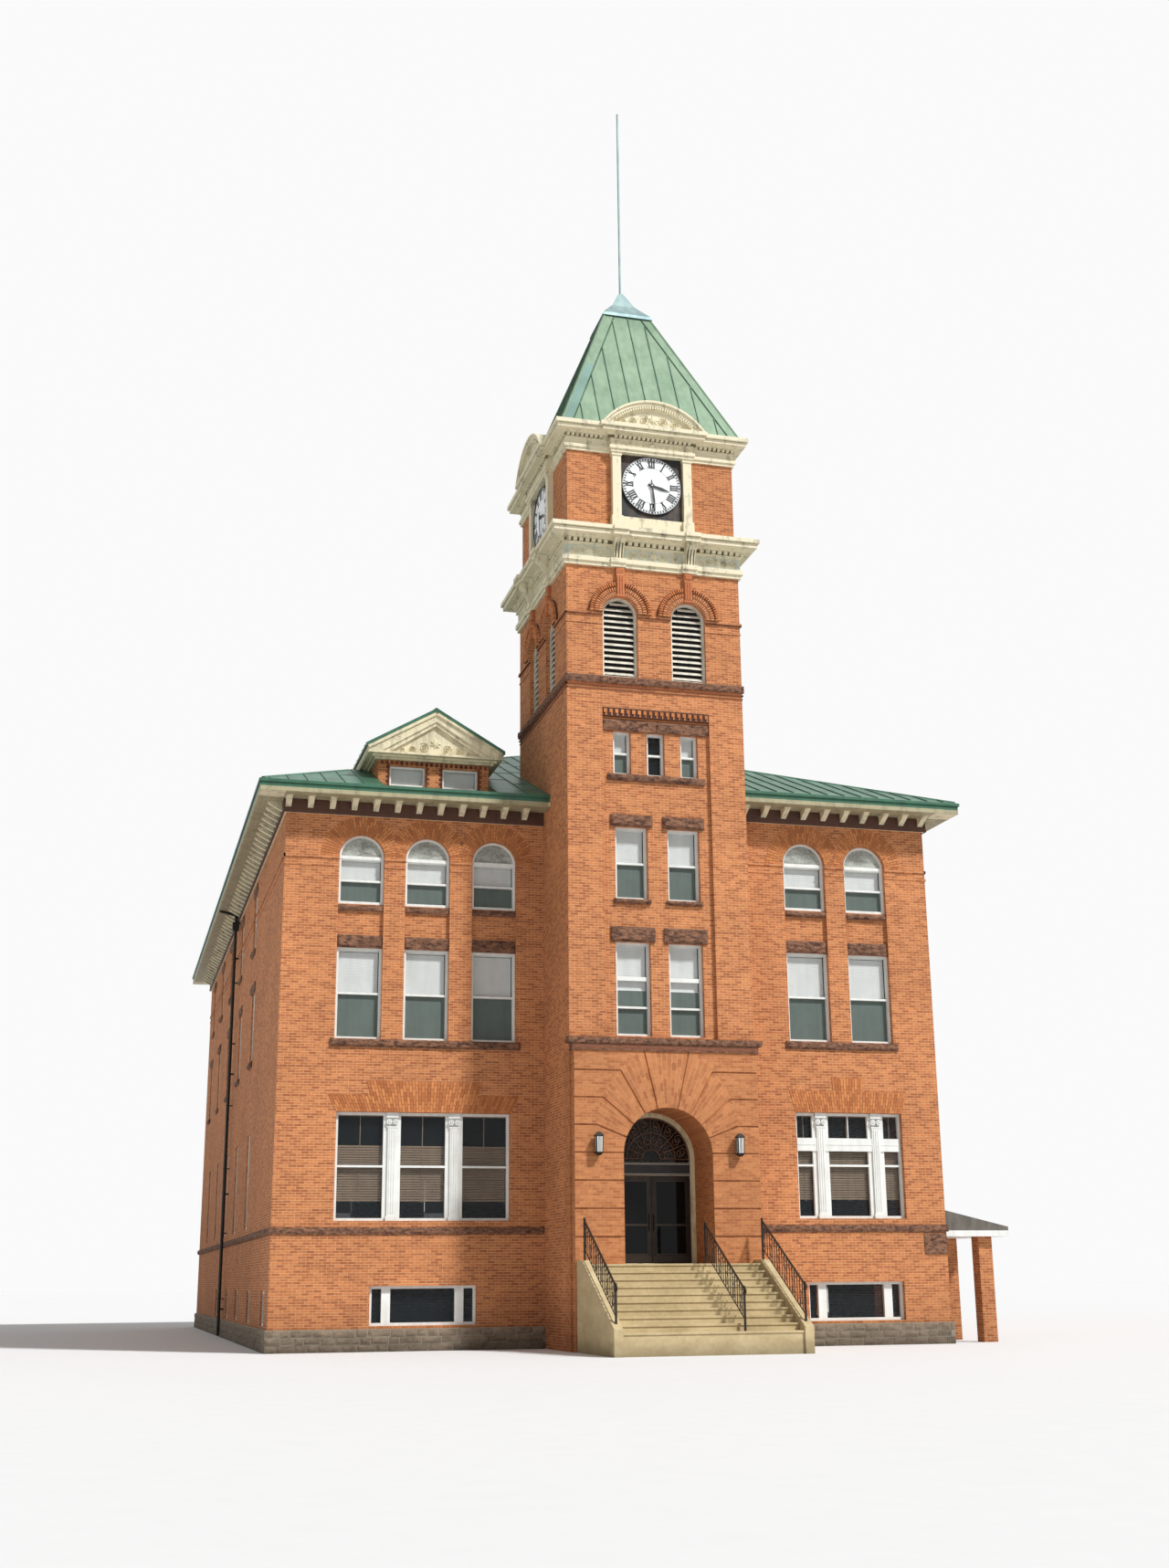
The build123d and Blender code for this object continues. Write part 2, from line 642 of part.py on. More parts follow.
def rail_run(x, base):
    """One iron railing up the flight: newels, square balusters, top and bottom rails."""
    start = STAIR_FOOT + STEP_TREAD / 2
    end = LANDING_FRONT + STEP_TREAD / 2
    slope = STEP_RISE / STEP_TREAD
    foot = nose_line(start) + base
    pieces = [
        sloped_bar(x, RAIL_WIDTH / 2, start, end, foot + RAIL_HEIGHT, slope, RAIL_THICKNESS),
        sloped_bar(x, BALUSTER / 2, start, end, foot + BALUSTER_GAP, slope, RAIL_THICKNESS),
    ]
    count = round((end - start) / BALUSTER_GAP)
    for i in range(count + 1):
        y = start + (end - start) * i / count
        z = foot + (y - start) * slope
        newel = i in (0, count)
        size = NEWEL if newel else BALUSTER
        bottom = z - NEWEL_FOOT if newel else z + BALUSTER_GAP
        pieces.append(block(x - size / 2, x + size / 2, y - size / 2, y + size / 2, bottom,
                            z + RAIL_HEIGHT + RAIL_THICKNESS / 2))
    return joined(pieces)


def railings():
    """Left, centre and right railings."""
    side = STAIR_HALF + CHEEK / 2
    return apart([rail_run(-side, CHEEK_ABOVE_NOSE), rail_run(CENTRE_RAIL_X, 0),
                  rail_run(side, CHEEK_ABOVE_NOSE)])


def railing_sockets(shape):
    """The same shape with the railings' feet cut out of it."""
    return shape - railings()


save("front_steps", railing_sockets(front_steps()))
save("stair_cheek_walls", railing_sockets(cheek_walls()))
save("stair_railings", railings())


# Entrance doors in their arched frame
FRAME_BACK = FRONT + PORTAL_DEPTH
FRAME_FRONT = FRAME_BACK - DOOR_FRAME_DEPTH
FRAME_CLEAR = ARCH_RADIUS - DOOR_FRAME_BAR
PIVOT_X = FRAME_CLEAR - DOOR_SIDE_GAP - PIVOT_INSET
DOOR_Y = FRAME_FRONT + DOOR_FRAME_DEPTH / 2
DOOR_BOTTOM = GROUND_FLOOR + THRESHOLD + DOOR_FLOOR_GAP


def across_frame(shape_2d_half, bottom):
    """A round-headed prism through the frame's depth."""
    y = (FRAME_FRONT, FRAME_BACK)
    box = block(-shape_2d_half, shape_2d_half, *y, bottom, ARCH_SPRING)
    head = Pos(0, (y[0] + y[1]) / 2, ARCH_SPRING) * Rot(90, 0, 0) * round_prism(
        shape_2d_half, DOOR_FRAME_DEPTH)
    return box + head


def door_frame():
    """Frame with threshold, bare sign band over the doors and an arched transom."""
    outer = across_frame(ARCH_RADIUS, GROUND_FLOOR)
    inner = across_frame(FRAME_CLEAR, GROUND_FLOOR)
    band_top = DOOR_TOP + SIGN_BAND
    y = (FRAME_FRONT, FRAME_BACK)
    frame = outer - inner
    frame += block(-FRAME_CLEAR, FRAME_CLEAR, *y, DOOR_TOP, band_top)
    frame += block(-FRAME_CLEAR, FRAME_CLEAR, *y, GROUND_FLOOR, GROUND_FLOOR + THRESHOLD)
    for side in (-1, 1):
        for z in (DOOR_BOTTOM, DOOR_TOP - DOOR_FLOOR_GAP):
            frame -= Pos(side * PIVOT_X, DOOR_Y, z) * Cylinder(
                PIVOT_RADIUS + SEAT, 2 * (PIVOT_REACH + SEAT))
    return frame


def fanlight():
    """Glass of the arched transom."""
    band_top = DOOR_TOP + SIGN_BAND
    half = GLASS_THICKNESS / 2
    head = Pos(0, DOOR_Y, ARCH_SPRING) * Rot(90, 0, 0) * round_prism(
        FRAME_CLEAR, GLASS_THICKNESS)
    above = block(-FRAME_CLEAR, FRAME_CLEAR, DOOR_Y - half, DOOR_Y + half, ARCH_SPRING,
                  ARCH_SPRING + FRAME_CLEAR)
    low = block(-FRAME_CLEAR, FRAME_CLEAR, DOOR_Y - half, DOOR_Y + half, band_top, ARCH_SPRING)
    return (head & above) + low


DOOR_STILE = 110
DOOR_RAIL = 200
PULL = 24
PULL_STAND = 35
PULL_LEVEL = 790
PULL_LENGTH = 420


def door_leaf(side):
    """A glazed leaf: stiles, rails, a pull handle, and pivots top and bottom."""
    meet = side * DOOR_MEETING_GAP / 2
    edge = side * (FRAME_CLEAR - DOOR_SIDE_GAP)
    x0, x1 = sorted((meet, edge))
    y0, y1 = DOOR_Y - DOOR_THICKNESS / 2, DOOR_Y + DOOR_THICKNESS / 2
    z0, z1 = DOOR_BOTTOM, DOOR_TOP - DOOR_FLOOR_GAP
    leaf = block(x0, x1, y0, y1, z0, z1)
    for face in (y0, y1):
        sign = -1 if face == y0 else 1
        depth = DOOR_THICKNESS / 2 - GLASS_THICKNESS / 2
        a, b = sorted((face, face - sign * depth))
        leaf -= block(x0 + DOOR_STILE, x1 - DOOR_STILE, a, b, z0 + DOOR_RAIL,
                      z1 - DOOR_STILE)
    pull_x = side * (DOOR_MEETING_GAP / 2 + DOOR_STILE / 2)
    leaf += block(pull_x - PULL / 2, pull_x + PULL / 2, y0 - PULL_STAND - PULL, y0 - PULL_STAND,
                  z0 + PULL_LEVEL, z0 + PULL_LEVEL + PULL_LENGTH)
    for z in (z0 + PULL_LEVEL + PULL, z0 + PULL_LEVEL + PULL_LENGTH - 2 * PULL):
        leaf += block(pull_x - PULL / 2, pull_x + PULL / 2, y0 - PULL_STAND, y0, z, z + PULL)
    for z in (z0, z1):
        leaf += Pos(side * PIVOT_X, DOOR_Y, z) * Cylinder(PIVOT_RADIUS, 2 * PIVOT_REACH)
    return leaf


save("door_frame", door_frame())
save("door_left", door_leaf(-1))
save("door_right", door_leaf(1))

LANTERN_X = 1865
LANTERN_BOTTOM = DOOR_TOP + 390
LANTERN_HEIGHT = 580
LANTERN_WIDTH = 190
LANTERN_PLATE = 30
LANTERN_GAP = 60


def lanterns():
    """Wall lanterns each side of the arch: tapered cap and foot, arm and back plate."""
    face = FRONT - PORTAL_REACH
    half = LANTERN_WIDTH / 2
    low = LANTERN_BOTTOM
    high = LANTERN_BOTTOM + LANTERN_HEIGHT
    neck = half / 3
    shoulder = high - LANTERN_HEIGHT / 6
    foot = low + LANTERN_HEIGHT / 9
    lantern = joined([
        frustum(neck, neck, low, half, half, foot),
        frustum(half * 0.85, half * 0.85, foot, half, half, shoulder),
        frustum(half + 20, half + 20, shoulder, neck, neck, high),
    ])
    both = []
    for side in (-1, 1):
        x = side * LANTERN_X
        plate = block(x - half * 0.6, x + half * 0.6, face - LANTERN_PLATE, face, low + 90,
                      high - 90)
        arm = block(x - 20, x + 20, face - LANTERN_GAP - half, face, high - 260, high - 200)
        both.append(joined([plate, arm, Pos(x, face - LANTERN_GAP - half, 0) * lantern]))
    return apart(both)


save("portal_lanterns", lanterns())


# Stone trim
def plan_ring(reach_in, reach_out, z0, z1):
    """A band around the wings that stops at the tower's sides, by its reach from the wall."""
    def prism(reach):
        points = [
            (-LEFT_REACH - reach, LEFT_FRONT - reach),
            (-reach, LEFT_FRONT - reach),
            (-reach, RIGHT_FRONT - reach),
            (RIGHT_REACH + reach, RIGHT_FRONT - reach),
            (RIGHT_REACH + reach, BACK + reach),
            (-LEFT_REACH - reach, BACK + reach),
        ]
        face = make_face(Polyline(*points, close=True))
        return Pos(0, 0, z0) * extrude(face, z1 - z0)
    tower = block(-TOWER_HALF, TOWER_HALF, FRONT - PORTAL_REACH - reach_out, TOWER_BACK, z0, z1)
    return prism(reach_out) - prism(reach_in) - tower


def lintel(wall, u, width, z0, z1, extra=120):
    """A rock-faced lintel with bearing at both ends."""
    half = width / 2 + extra
    return on_wall(wall, u - half, u + half, -STONE_REACH, 0, z0, z1)


def wing_stone():
    """Sills, lintels and strings of the wings."""
    pieces = []
    for wall, bays in (("front_left", LEFT_BAYS), ("front_right", RIGHT_BAYS)):
        half = BAY_WIDTH / 2
        for u in bays:
            pieces.append(on_wall(wall, u - half, u + half, 0, RECESS, SECOND_TOP,
                                  SECOND_TOP + 330))
            pieces.append(on_wall(wall, u - half, u + half, -20, RECESS, THIRD_BOTTOM - 190,
                                  THIRD_BOTTOM - 40))
        pieces.append(on_wall(wall, bays[0] - half - 120, bays[-1] + half + 120, -SILL_REACH, 0,
                              SECOND_BOTTOM - 210, SECOND_BOTTOM))
    for wall in ("left", "right", "rear"):
        for _, u, width, bottom, top, kind in WING_WINDOWS[wall]:
            if bottom > WATER_TABLE_TOP + 500:
                pieces.append(lintel(wall, u, width, top, top + 280))
                pieces.append(on_wall(wall, u - width / 2 - 60, u + width / 2 + 60, -SILL_REACH, 0,
                                      bottom - 160, bottom))
    top = WATER_TABLE_BOTTOM - DATE_STONE_DROP
    pieces.append(on_wall("front_right", RIGHT_REACH - DATE_STONE_WIDTH, RIGHT_REACH, -20, 0,
                          top - DATE_STONE_HEIGHT, top))
    return apart(pieces)


# Belt over the portal: reach, bottom and top above the portal's brick, extra length
BELT_ROWS = ((40, 0, 30, 20), (15, 30, 155, 0), (35, 155, 185, 20), (60, 185, BELT, 110))
# Lintels of the tower's pairs: height over each storey's windows
SECOND_LINTEL = 390
THIRD_LINTEL = 320
FOURTH_LINTEL = 300
FOURTH_SILL_HALF = 1370


def tower_stone():
    """Belt over the portal, window lintels and sills, and the belfry's sill."""
    face = FRONT - PORTAL_REACH
    out = [joined([block(-TOWER_HALF - extra, TOWER_HALF + extra, face - reach, FRONT,
                         PORTAL_TOP + low, PORTAL_TOP + high)
                   for reach, low, high, extra in BELT_ROWS])]
    for side in (-1, 1):
        u = side * TOWER_PAIR
        for top, height, width in ((TOWER_SECOND_TOP, SECOND_LINTEL, TOWER_SECOND_WIDTH),
                                   (TOWER_THIRD_TOP, THIRD_LINTEL, TOWER_PAIR_WIDTH)):
            half = width / 2 + 130
            out.append(on_wall("tower_front", u - half, u + half, -10, PANEL_DEPTH, top,
                               top + height))
        half = TOWER_PAIR_WIDTH / 2 + 60
        out.append(on_wall("tower_front", u - half, u + half, -20, PANEL_DEPTH,
                           TOWER_THIRD_BOTTOM - 120, TOWER_THIRD_BOTTOM))
    out.append(on_wall("tower_front", -PANEL_HALF, PANEL_HALF, -10, PANEL_DEPTH,
                       TOWER_FOURTH_TOP, TOWER_FOURTH_TOP + FOURTH_LINTEL))
    out.append(on_wall("tower_front", -FOURTH_SILL_HALF, FOURTH_SILL_HALF, -20, PANEL_DEPTH,
                       TOWER_FOURTH_BOTTOM - 180, TOWER_FOURTH_BOTTOM))
    out.append(tower_ring(STONE_REACH, BELFRY_SILL - 200, BELFRY_SILL))
    return apart(out)


save("water_table", plan_ring(0, STONE_REACH, WATER_TABLE_BOTTOM, WATER_TABLE_TOP))
save("stone_trim", apart([wing_stone(), tower_stone()]))


# Windows
def frame_set(wall):
    """How far the frames stand behind the face of a wall."""
    if wall == "tower_front":
        return FRAME_SET + PANEL_DEPTH
    return FRAME_SET if wall.startswith("front") else SIDE_FRAME_SET


def frame_for(row):
    """One window's painted frame with its meeting rail and mullions."""
    wall, u, width, bottom, top, kind = row
    half = width / 2
    d0 = frame_set(wall)
    d1 = d0 + FRAME_DEPTH
    outer = on_wall(wall, u - half, u + half, d0, d1, bottom, top)
    lights = []
    posts = {"wide": 320, "triple": 90}.get(kind, 0)
    middle = (bottom + top) / 2
    if kind == "wide":
        count = 3
        split = [(half * 2 - 2 * posts) / 3] * 3
        if wall == "front_right":
            split = [570, half * 2 - 2 * posts - 1140, 570]
    elif kind == "triple":
        count = 3
        side = (half * 2 - 2 * posts) * 0.15
        split = [side, half * 2 - 2 * posts - 2 * side, side]
    else:
        count = 1
        split = [half * 2]
    x = u - half
    for i in range(count):
        x1 = x + split[i]
        a, b = x + FRAME_BAR, x1 - FRAME_BAR
        if kind in ("sash", "wide", "arched"):
            lights.append((a, b, bottom + FRAME_BAR, middle - SASH_BAR / 2))
            lights.append((a, b, middle + SASH_BAR / 2, top - FRAME_BAR))
        elif kind == "transom":
            bar = bottom + TOWER_TRANSOM
            half_low = (bottom + bar) / 2
            lights.append((a, b, bottom + FRAME_BAR, half_low - SASH_BAR / 2))
            lights.append((a, b, half_low + SASH_BAR / 2, bar - SASH_BAR))
            lights.append((a, b, bar + SASH_BAR, top - FRAME_BAR))
        else:
            lights.append((a, b, bottom + FRAME_BAR, top - FRAME_BAR))
        x = x1 + posts
    frame = outer - [on_wall(wall, a, b, d0 - 1, d1 + 1, z0, z1) for a, b, z0, z1 in lights]
    if kind == "arched":
        panel = arch_on_wall(wall, u, half, d0 + 20, d1 - 20, top - 10, top)
        frame += panel - on_wall(wall, u - half, u + half, d0 - 1, d1 + 1, top - half * 2, top)
    return frame


def glass_for(row):
    """One sheet of glass behind a window's frame."""
    wall, u, width, bottom, top, kind = row
    half = width / 2
    d0 = frame_set(wall) + FRAME_DEPTH
    return on_wall(wall, u - half, u + half, d0, d0 + GLASS_THICKNESS, bottom, top)


WING_ROWS = [row for rows in WING_WINDOWS.values() for row in rows]


DORMER_LEFT = -7090
DORMER_RIGHT = -3980
DORMER_FRONT = LEFT_FRONT + 410
DORMER_DEPTH = 2900
DORMER_PIER = 310
DORMER_MULLION = 480
DORMER_WINDOW = (EAVE_TOP + 350, EAVE_TOP + 920)


def dormer_lights():
    """The two window openings between the dormer's three piers."""
    width = (DORMER_RIGHT - DORMER_LEFT - 2 * DORMER_PIER - DORMER_MULLION) / 2
    a = DORMER_LEFT + DORMER_PIER
    b = DORMER_RIGHT - DORMER_PIER
    return ((a, a + width), (b - width, b))


def dormer_frames():
    """Frames of the two lights in the dormer."""
    pieces = []
    y = DORMER_FRONT + 80
    for x0, x1 in dormer_lights():
        outer = block(x0, x1, y, y + 60, *DORMER_WINDOW)
        pieces.append(outer - block(x0 + 60, x1 - 60, y, y + 60, DORMER_WINDOW[0] + 60,
                                    DORMER_WINDOW[1] - 60))
    return pieces


def dormer_glass():
    """Glass of the two lights in the dormer."""
    y = DORMER_FRONT + 140
    return [block(x0, x1, y, y + GLASS_THICKNESS, *DORMER_WINDOW) for x0, x1 in dormer_lights()]


WING_FRAMES = [frame_for(row) for row in WING_ROWS]
TOWER_FRAMES = [frame_for(row) for row in TOWER_ROWS]
PANES = [glass_for(row) for row in WING_ROWS + TOWER_ROWS]
save("wing_window_frames", apart(WING_FRAMES + dormer_frames()))
save("tower_window_frames", apart(TOWER_FRAMES))
save("window_glass", apart(PANES + dormer_glass() + [fanlight()]))


# Belfry louvers
SLAT_COUNT = 11
SLAT_THICKNESS = 45
SLAT_TILT = 35             # degrees, down towards the street
LOUVER_FRAME = 60
LOUVER_SET = 120
LOUVER_DEPTH = 110
LOUVER_BACK = 25           # thickness left behind the gaps
SHORTEST_GAP = 80          # half length below which no gap is cut in the round head


def louver(wall, u):
    """A round-headed board with sloping gaps cut in it; the slats stand between the gaps."""
    d0, d1 = LOUVER_SET, LOUVER_SET + LOUVER_DEPTH
    run, face, inward = WALLS[wall]
    height = BELFRY_SPRING + BELFRY_HALF - BELFRY_SILL - 2 * LOUVER_FRAME
    pitch = height / SLAT_COUNT
    depth = LOUVER_DEPTH - LOUVER_BACK
    rise = depth * math.tan(math.radians(SLAT_TILT))
    near, far = face + inward * d0, face + inward * (d0 + depth)
    gaps = []
    for i in range(SLAT_COUNT):
        low = BELFRY_SILL + LOUVER_FRAME + i * pitch + SLAT_THICKNESS
        high = low + pitch - SLAT_THICKNESS
        above = max(high - BELFRY_SPRING, 0)
        half = math.sqrt(max((BELFRY_HALF - LOUVER_FRAME) ** 2 - above ** 2, 0))
        if half < SHORTEST_GAP:
            continue
        side = make_face(Polyline((near, low), (far, low + rise), (far, high + rise),
                                  (near, high), close=True))
        if run == "x":
            gaps.append(Pos(u, 0, 0) * extrude(Plane.YZ * side, half, both=True))
        else:
            gaps.append(Pos(0, u, 0) * extrude(Plane.XZ * side, half, both=True))
    board = arch_on_wall(wall, u, BELFRY_HALF, d0, d1, BELFRY_SILL, BELFRY_SPRING)
    return board - gaps


def louvers():
    """Two louvered arches on each side of the belfry."""
    return apart([louver(wall, side * BELFRY_OFFSET) for wall in BELFRY_SIDES
                  for side in (-1, 1)])


save("belfry_louvers", louvers())


# Cornices of the tower
def tier(half_x, half_y, z0, z1):
    """A rectangular tier of masonry or metal centred on the tower."""
    return block(-half_x, half_x, -half_y, half_y, z0, z1)


def profile_tiers(half_x, half_y, z, rows):
    """Stacked mouldings: the reach, bottom and top of each, from a level z."""
    return joined([tier(half_x + reach, half_y + reach, z + low, z + high)
                   for reach, low, high in rows])


def side_blocks(half_x, half_y, offsets, width, reach, z0, z1):
    """The same block repeated at offsets on all four sides."""
    pieces = []
    for u in offsets:
        for side in (-1, 1):
            a, b = sorted((side * (half_y - 50), side * (half_y + reach)))
            pieces.append(block(u - width / 2, u + width / 2, a, b, z0, z1))
            a, b = sorted((side * (half_x - 50), side * (half_x + reach)))
            pieces.append(block(a, b, u - width / 2, u + width / 2, z0, z1))
    return pieces


PLINTH_REACH = 35
PLINTH_HEIGHT = 430
SILL_BOARD = 450           # painted board under the dial's panel
SILL_BOARD_REACH = 110
PILASTER_U = SURROUND_HALF + PLINTH_REACH + PILASTER_WIDTH / 2
HALF_Y = TOWER_DEPTH / 2


# Rows of the cornices: reach from the wall, bottom and top above the cornice's foot
LOWER_FRIEZE = 50
LOWER_FEET = ((70, 0, 110), (120, 110, 240))
LOWER_ROWS = LOWER_FEET + (
    (LOWER_FRIEZE, 240, 600), (110, 600, 650), (70, 650, 760), (190, 760, 820),
    (LOWER_EDGE - 60, 820, 930), (LOWER_EDGE - 95, 930, 955), (LOWER_EDGE, 955, 1070),
)
UPPER_FRIEZE = 40
UPPER_ROWS = (
    (55, 0, 90), (95, 90, 180), (UPPER_FRIEZE, 180, 400), (60, 400, 490), (160, 490, 550),
    (UPPER_EDGE - 60, 550, 640), (UPPER_EDGE - 90, 640, 665), (UPPER_EDGE, 665, 780),
)
CORNICE_STEP = 60          # the lower cornice steps forward over its consoles
CONSOLE_FOOT = LOWER_FEET[-1][2]
CONSOLE_TOP = 820
CONSOLE_TAPER = 35         # narrower at each side of the foot
FLUTES = 3
FLUTE_DEPTH = 22


def lower_cornice():
    """Pressed-metal cornice over the belfry: bands, flat frieze, corona and sloping deck."""
    z = TOWER_BRICK_TOP
    deck = LOWER_ROWS[-1][2]
    body = profile_tiers(TOWER_HALF, HALF_Y, z, LOWER_ROWS)
    body += frustum(TOWER_HALF + LOWER_EDGE, HALF_Y + LOWER_EDGE, z + deck, TOWER_HALF, HALF_Y,
                    CLOCK_STAGE_BASE)
    for reach, low, high in LOWER_FEET + LOWER_ROWS[-3:]:
        body += side_blocks(TOWER_HALF, HALF_Y, (-PILASTER_U, PILASTER_U), CONSOLE_WIDTH + 130,
                            reach + CORNICE_STEP, z + low, z + high)
    return body


def console_side(inset):
    """Side of a console as an S curve in straight facets, drawn outward along -y."""
    root = LOWER_FRIEZE
    foot = LOWER_FEET[-1][0] + CORNICE_STEP - 20 - inset
    head = LOWER_EDGE - 80 - inset
    rise = CONSOLE_TOP - CONSOLE_FOOT
    outline = Polyline((-root, 0), (-foot, 0), (-foot - 15, rise * 0.2),
                       (-foot - 60, rise * 0.45), (-foot - 150, rise * 0.7),
                       (-head, rise * 0.86), (-head, rise), (-root, rise), close=True)
    return make_face(outline)


def console():
    """A fluted, tapering scroll bracket, standing at the origin."""
    width = CONSOLE_WIDTH
    rib = width / (2 * FLUTES + 1)
    body = extrude(Plane.YZ * console_side(FLUTE_DEPTH), width / 2, both=True)
    for i in range(FLUTES + 1):
        u = -width / 2 + (2 * i + 0.5) * rib
        body += Pos(u, 0, 0) * extrude(Plane.YZ * console_side(0), rib / 2, both=True)
    rise = CONSOLE_TOP - CONSOLE_FOOT
    foot = width / 2 - CONSOLE_TAPER
    taper = make_face(Polyline((-foot, 0), (foot, 0), (width / 2, rise), (-width / 2, rise),
                               close=True))
    return body & extrude(Plane.XZ * taper, 2 * LOWER_EDGE, both=True)


def consoles():
    """Scroll consoles beneath the clock pilasters on each side."""
    pieces = []
    bracket = console()
    for quarter in range(4):
        half = HALF_Y if quarter % 2 == 0 else TOWER_HALF
        for u in (-PILASTER_U, PILASTER_U):
            place = Pos(u, -half, TOWER_BRICK_TOP + CONSOLE_FOOT)
            pieces.append(Rot(0, 0, 90 * quarter) * place * bracket)
    return pieces


def clock_stage_walls():
    """Brick walls of the clock stage, closed in a square."""
    outer = tier(CLOCK_HALF, CLOCK_HALF_DEPTH, CLOCK_STAGE_BASE, CLOCK_STAGE_TOP)
    inner = tier(CLOCK_HALF - 400, CLOCK_HALF_DEPTH - 400, CLOCK_STAGE_BASE, CLOCK_STAGE_TOP)
    return outer - inner


def clock_faces():
    """Turn and distance of each clock face, front first and anticlockwise from above."""
    return ((0, CLOCK_HALF_DEPTH), (90, CLOCK_HALF), (180, CLOCK_HALF_DEPTH), (270, CLOCK_HALF))


def on_faces(make):
    """A piece made for the front face and repeated on all four."""
    return [Rot(0, 0, turn) * make(-half) for turn, half in clock_faces()]


def pilaster_pair(face):
    """Two painted pilasters with plinths and caps beside the clock."""
    pieces = []
    for u in (-PILASTER_U, PILASTER_U):
        half = PILASTER_WIDTH / 2
        pieces.append(joined([
            block(u - half, u + half, face - PILASTER_REACH, face, CLOCK_STAGE_BASE,
                  CLOCK_STAGE_TOP),
            block(u - half - PLINTH_REACH, u + half + PLINTH_REACH,
                  face - PILASTER_REACH - PLINTH_REACH, face, CLOCK_STAGE_BASE,
                  CLOCK_STAGE_BASE + PLINTH_HEIGHT),
            block(u - half - 25, u + half + 25, face - PILASTER_REACH - 25, face,
                  CLOCK_STAGE_TOP - 90, CLOCK_STAGE_TOP),
        ]))
    pieces.append(block(-SURROUND_HALF, SURROUND_HALF, face - SILL_BOARD_REACH, face,
                        CLOCK_STAGE_BASE, CLOCK_STAGE_BASE + SILL_BOARD))
    return joined(pieces)


def clock_surround(face):
    """Dark square panel behind the dial, over the painted board."""
    return block(-SURROUND_HALF, SURROUND_HALF, face - SURROUND_THICKNESS, face,
                 CLOCK_STAGE_BASE + SILL_BOARD, CLOCK_STAGE_TOP)


def clock_dial(face):
    """A round dial with the arbor that carries the hands."""
    front = face - SURROUND_THICKNESS
    disc = Pos(0, front - DIAL_THICKNESS / 2, CLOCK_CENTRE) * Rot(90, 0, 0) * round_prism(
        DIAL_RADIUS, DIAL_THICKNESS)
    length = 3 * HAND_GAP + 2 * HAND_THICKNESS
    arbor = Pos(0, front - DIAL_THICKNESS - length / 2, CLOCK_CENTRE) * Rot(
        90, 0, 0) * Cylinder(ARBOR_RADIUS, length)
    return disc + arbor


def clock_hand(face, layer, length, width, angle):
    """A tapered hand with a hub on the arbor, pointing at a clockwise angle."""
    y = face - SURROUND_THICKNESS - DIAL_THICKNESS - HAND_GAP - layer * (
        HAND_THICKNESS + HAND_GAP) - HAND_THICKNESS / 2
    outline = Polyline((-width / 2, -length * 0.22), (width / 2, -length * 0.22),
                       (width, length * 0.55), (0, length), (-width, length * 0.55), close=True)
    blade = extrude(make_face(outline), HAND_THICKNESS / 2, both=True)
    hub = Cylinder(HAND_HUB, HAND_THICKNESS)
    bore = Cylinder(ARBOR_RADIUS + SEAT, HAND_THICKNESS)
    hand = blade + hub - bore
    return Pos(0, y, CLOCK_CENTRE) * Rot(0, angle, 0) * Rot(90, 0, 0) * hand


save("lower_cornice", lower_cornice() + consoles())
save("clock_stage_walls", clock_stage_walls())
save("clock_pilasters", apart(on_faces(pilaster_pair)))
save("clock_surrounds", apart(on_faces(clock_surround)))
save("clock_dials", apart(on_faces(clock_dial)))
for (turn, half), name in zip(clock_faces(), ("front", "right", "rear", "left")):
    spin = Rot(0, 0, turn)
    save(f"hour_hand_{name}", spin * clock_hand(-half, 0, HOUR_LENGTH, 44, HOUR_ANGLE))
    save(f"minute_hand_{name}", spin * clock_hand(-half, 1, MINUTE_LENGTH, 30, MINUTE_ANGLE))

PEDIMENT_HALF = 1520
PEDIMENT_RISE = 800
# Mouldings of the pediment's arch: how far inside the rim each begins, and its depth
PEDIMENT_STEPS = ((60, 50), (150, 90), (260, 150))


def pediment(face):
    """Segmental pediment: a stepped arch over a sunk tympanum."""
    radius = (PEDIMENT_HALF ** 2 + PEDIMENT_RISE ** 2) / (2 * PEDIMENT_RISE)
    base = TOWER_EAVE - 60
    centre = base + PEDIMENT_RISE - radius
    front = face - UPPER_EDGE - BAY_REACH
    keep = block(-PEDIMENT_HALF, PEDIMENT_HALF, front - 200, face + 1200, base,
                 base + PEDIMENT_RISE + 300)

    def segment(size, y0, y1):
        return (Pos(0, (y0 + y1) / 2, centre) * Rot(90, 0, 0) * round_prism(
            size, y1 - y0)) & keep
    body = segment(radius, front, face + 900)
    return body - [segment(radius - inside, front - 1, front + depth)
                   for inside, depth in PEDIMENT_STEPS]


def upper_cornice():
    """Cornice over the clock stage. Over the clock it stands forward with the pilasters."""
    z = CLOCK_STAGE_TOP
    deck = UPPER_ROWS[-1][2]
    body = profile_tiers(CLOCK_HALF, CLOCK_HALF_DEPTH, z, UPPER_ROWS)
    body += frustum(CLOCK_HALF + UPPER_EDGE, CLOCK_HALF_DEPTH + UPPER_EDGE, z + deck,
                    CLOCK_HALF - ROOF_FOOT, CLOCK_HALF_DEPTH - ROOF_FOOT, TOWER_EAVE)
    bay = PILASTER_U + PILASTER_WIDTH / 2
    for reach, low, high in UPPER_ROWS:
        front = max(PILASTER_REACH, BAY_REACH) + reach if high <= UPPER_ROWS[4][1] else 0
        for quarter, half in zip(range(4), (CLOCK_HALF_DEPTH, CLOCK_HALF) * 2):
            stand = max(front, reach + BAY_REACH)
            body += Rot(0, 0, 90 * quarter) * block(-bay - reach, bay + reach, -half - stand,
                                                    -half, z + low, z + high)
    return body


save("upper_cornice", upper_cornice() + on_faces(pediment))


# Tower roof, cap and rod
ROOF_TOP_HALF = 720
ROD_RADIUS = 32
TOWER_ROOF_SHELL = 120


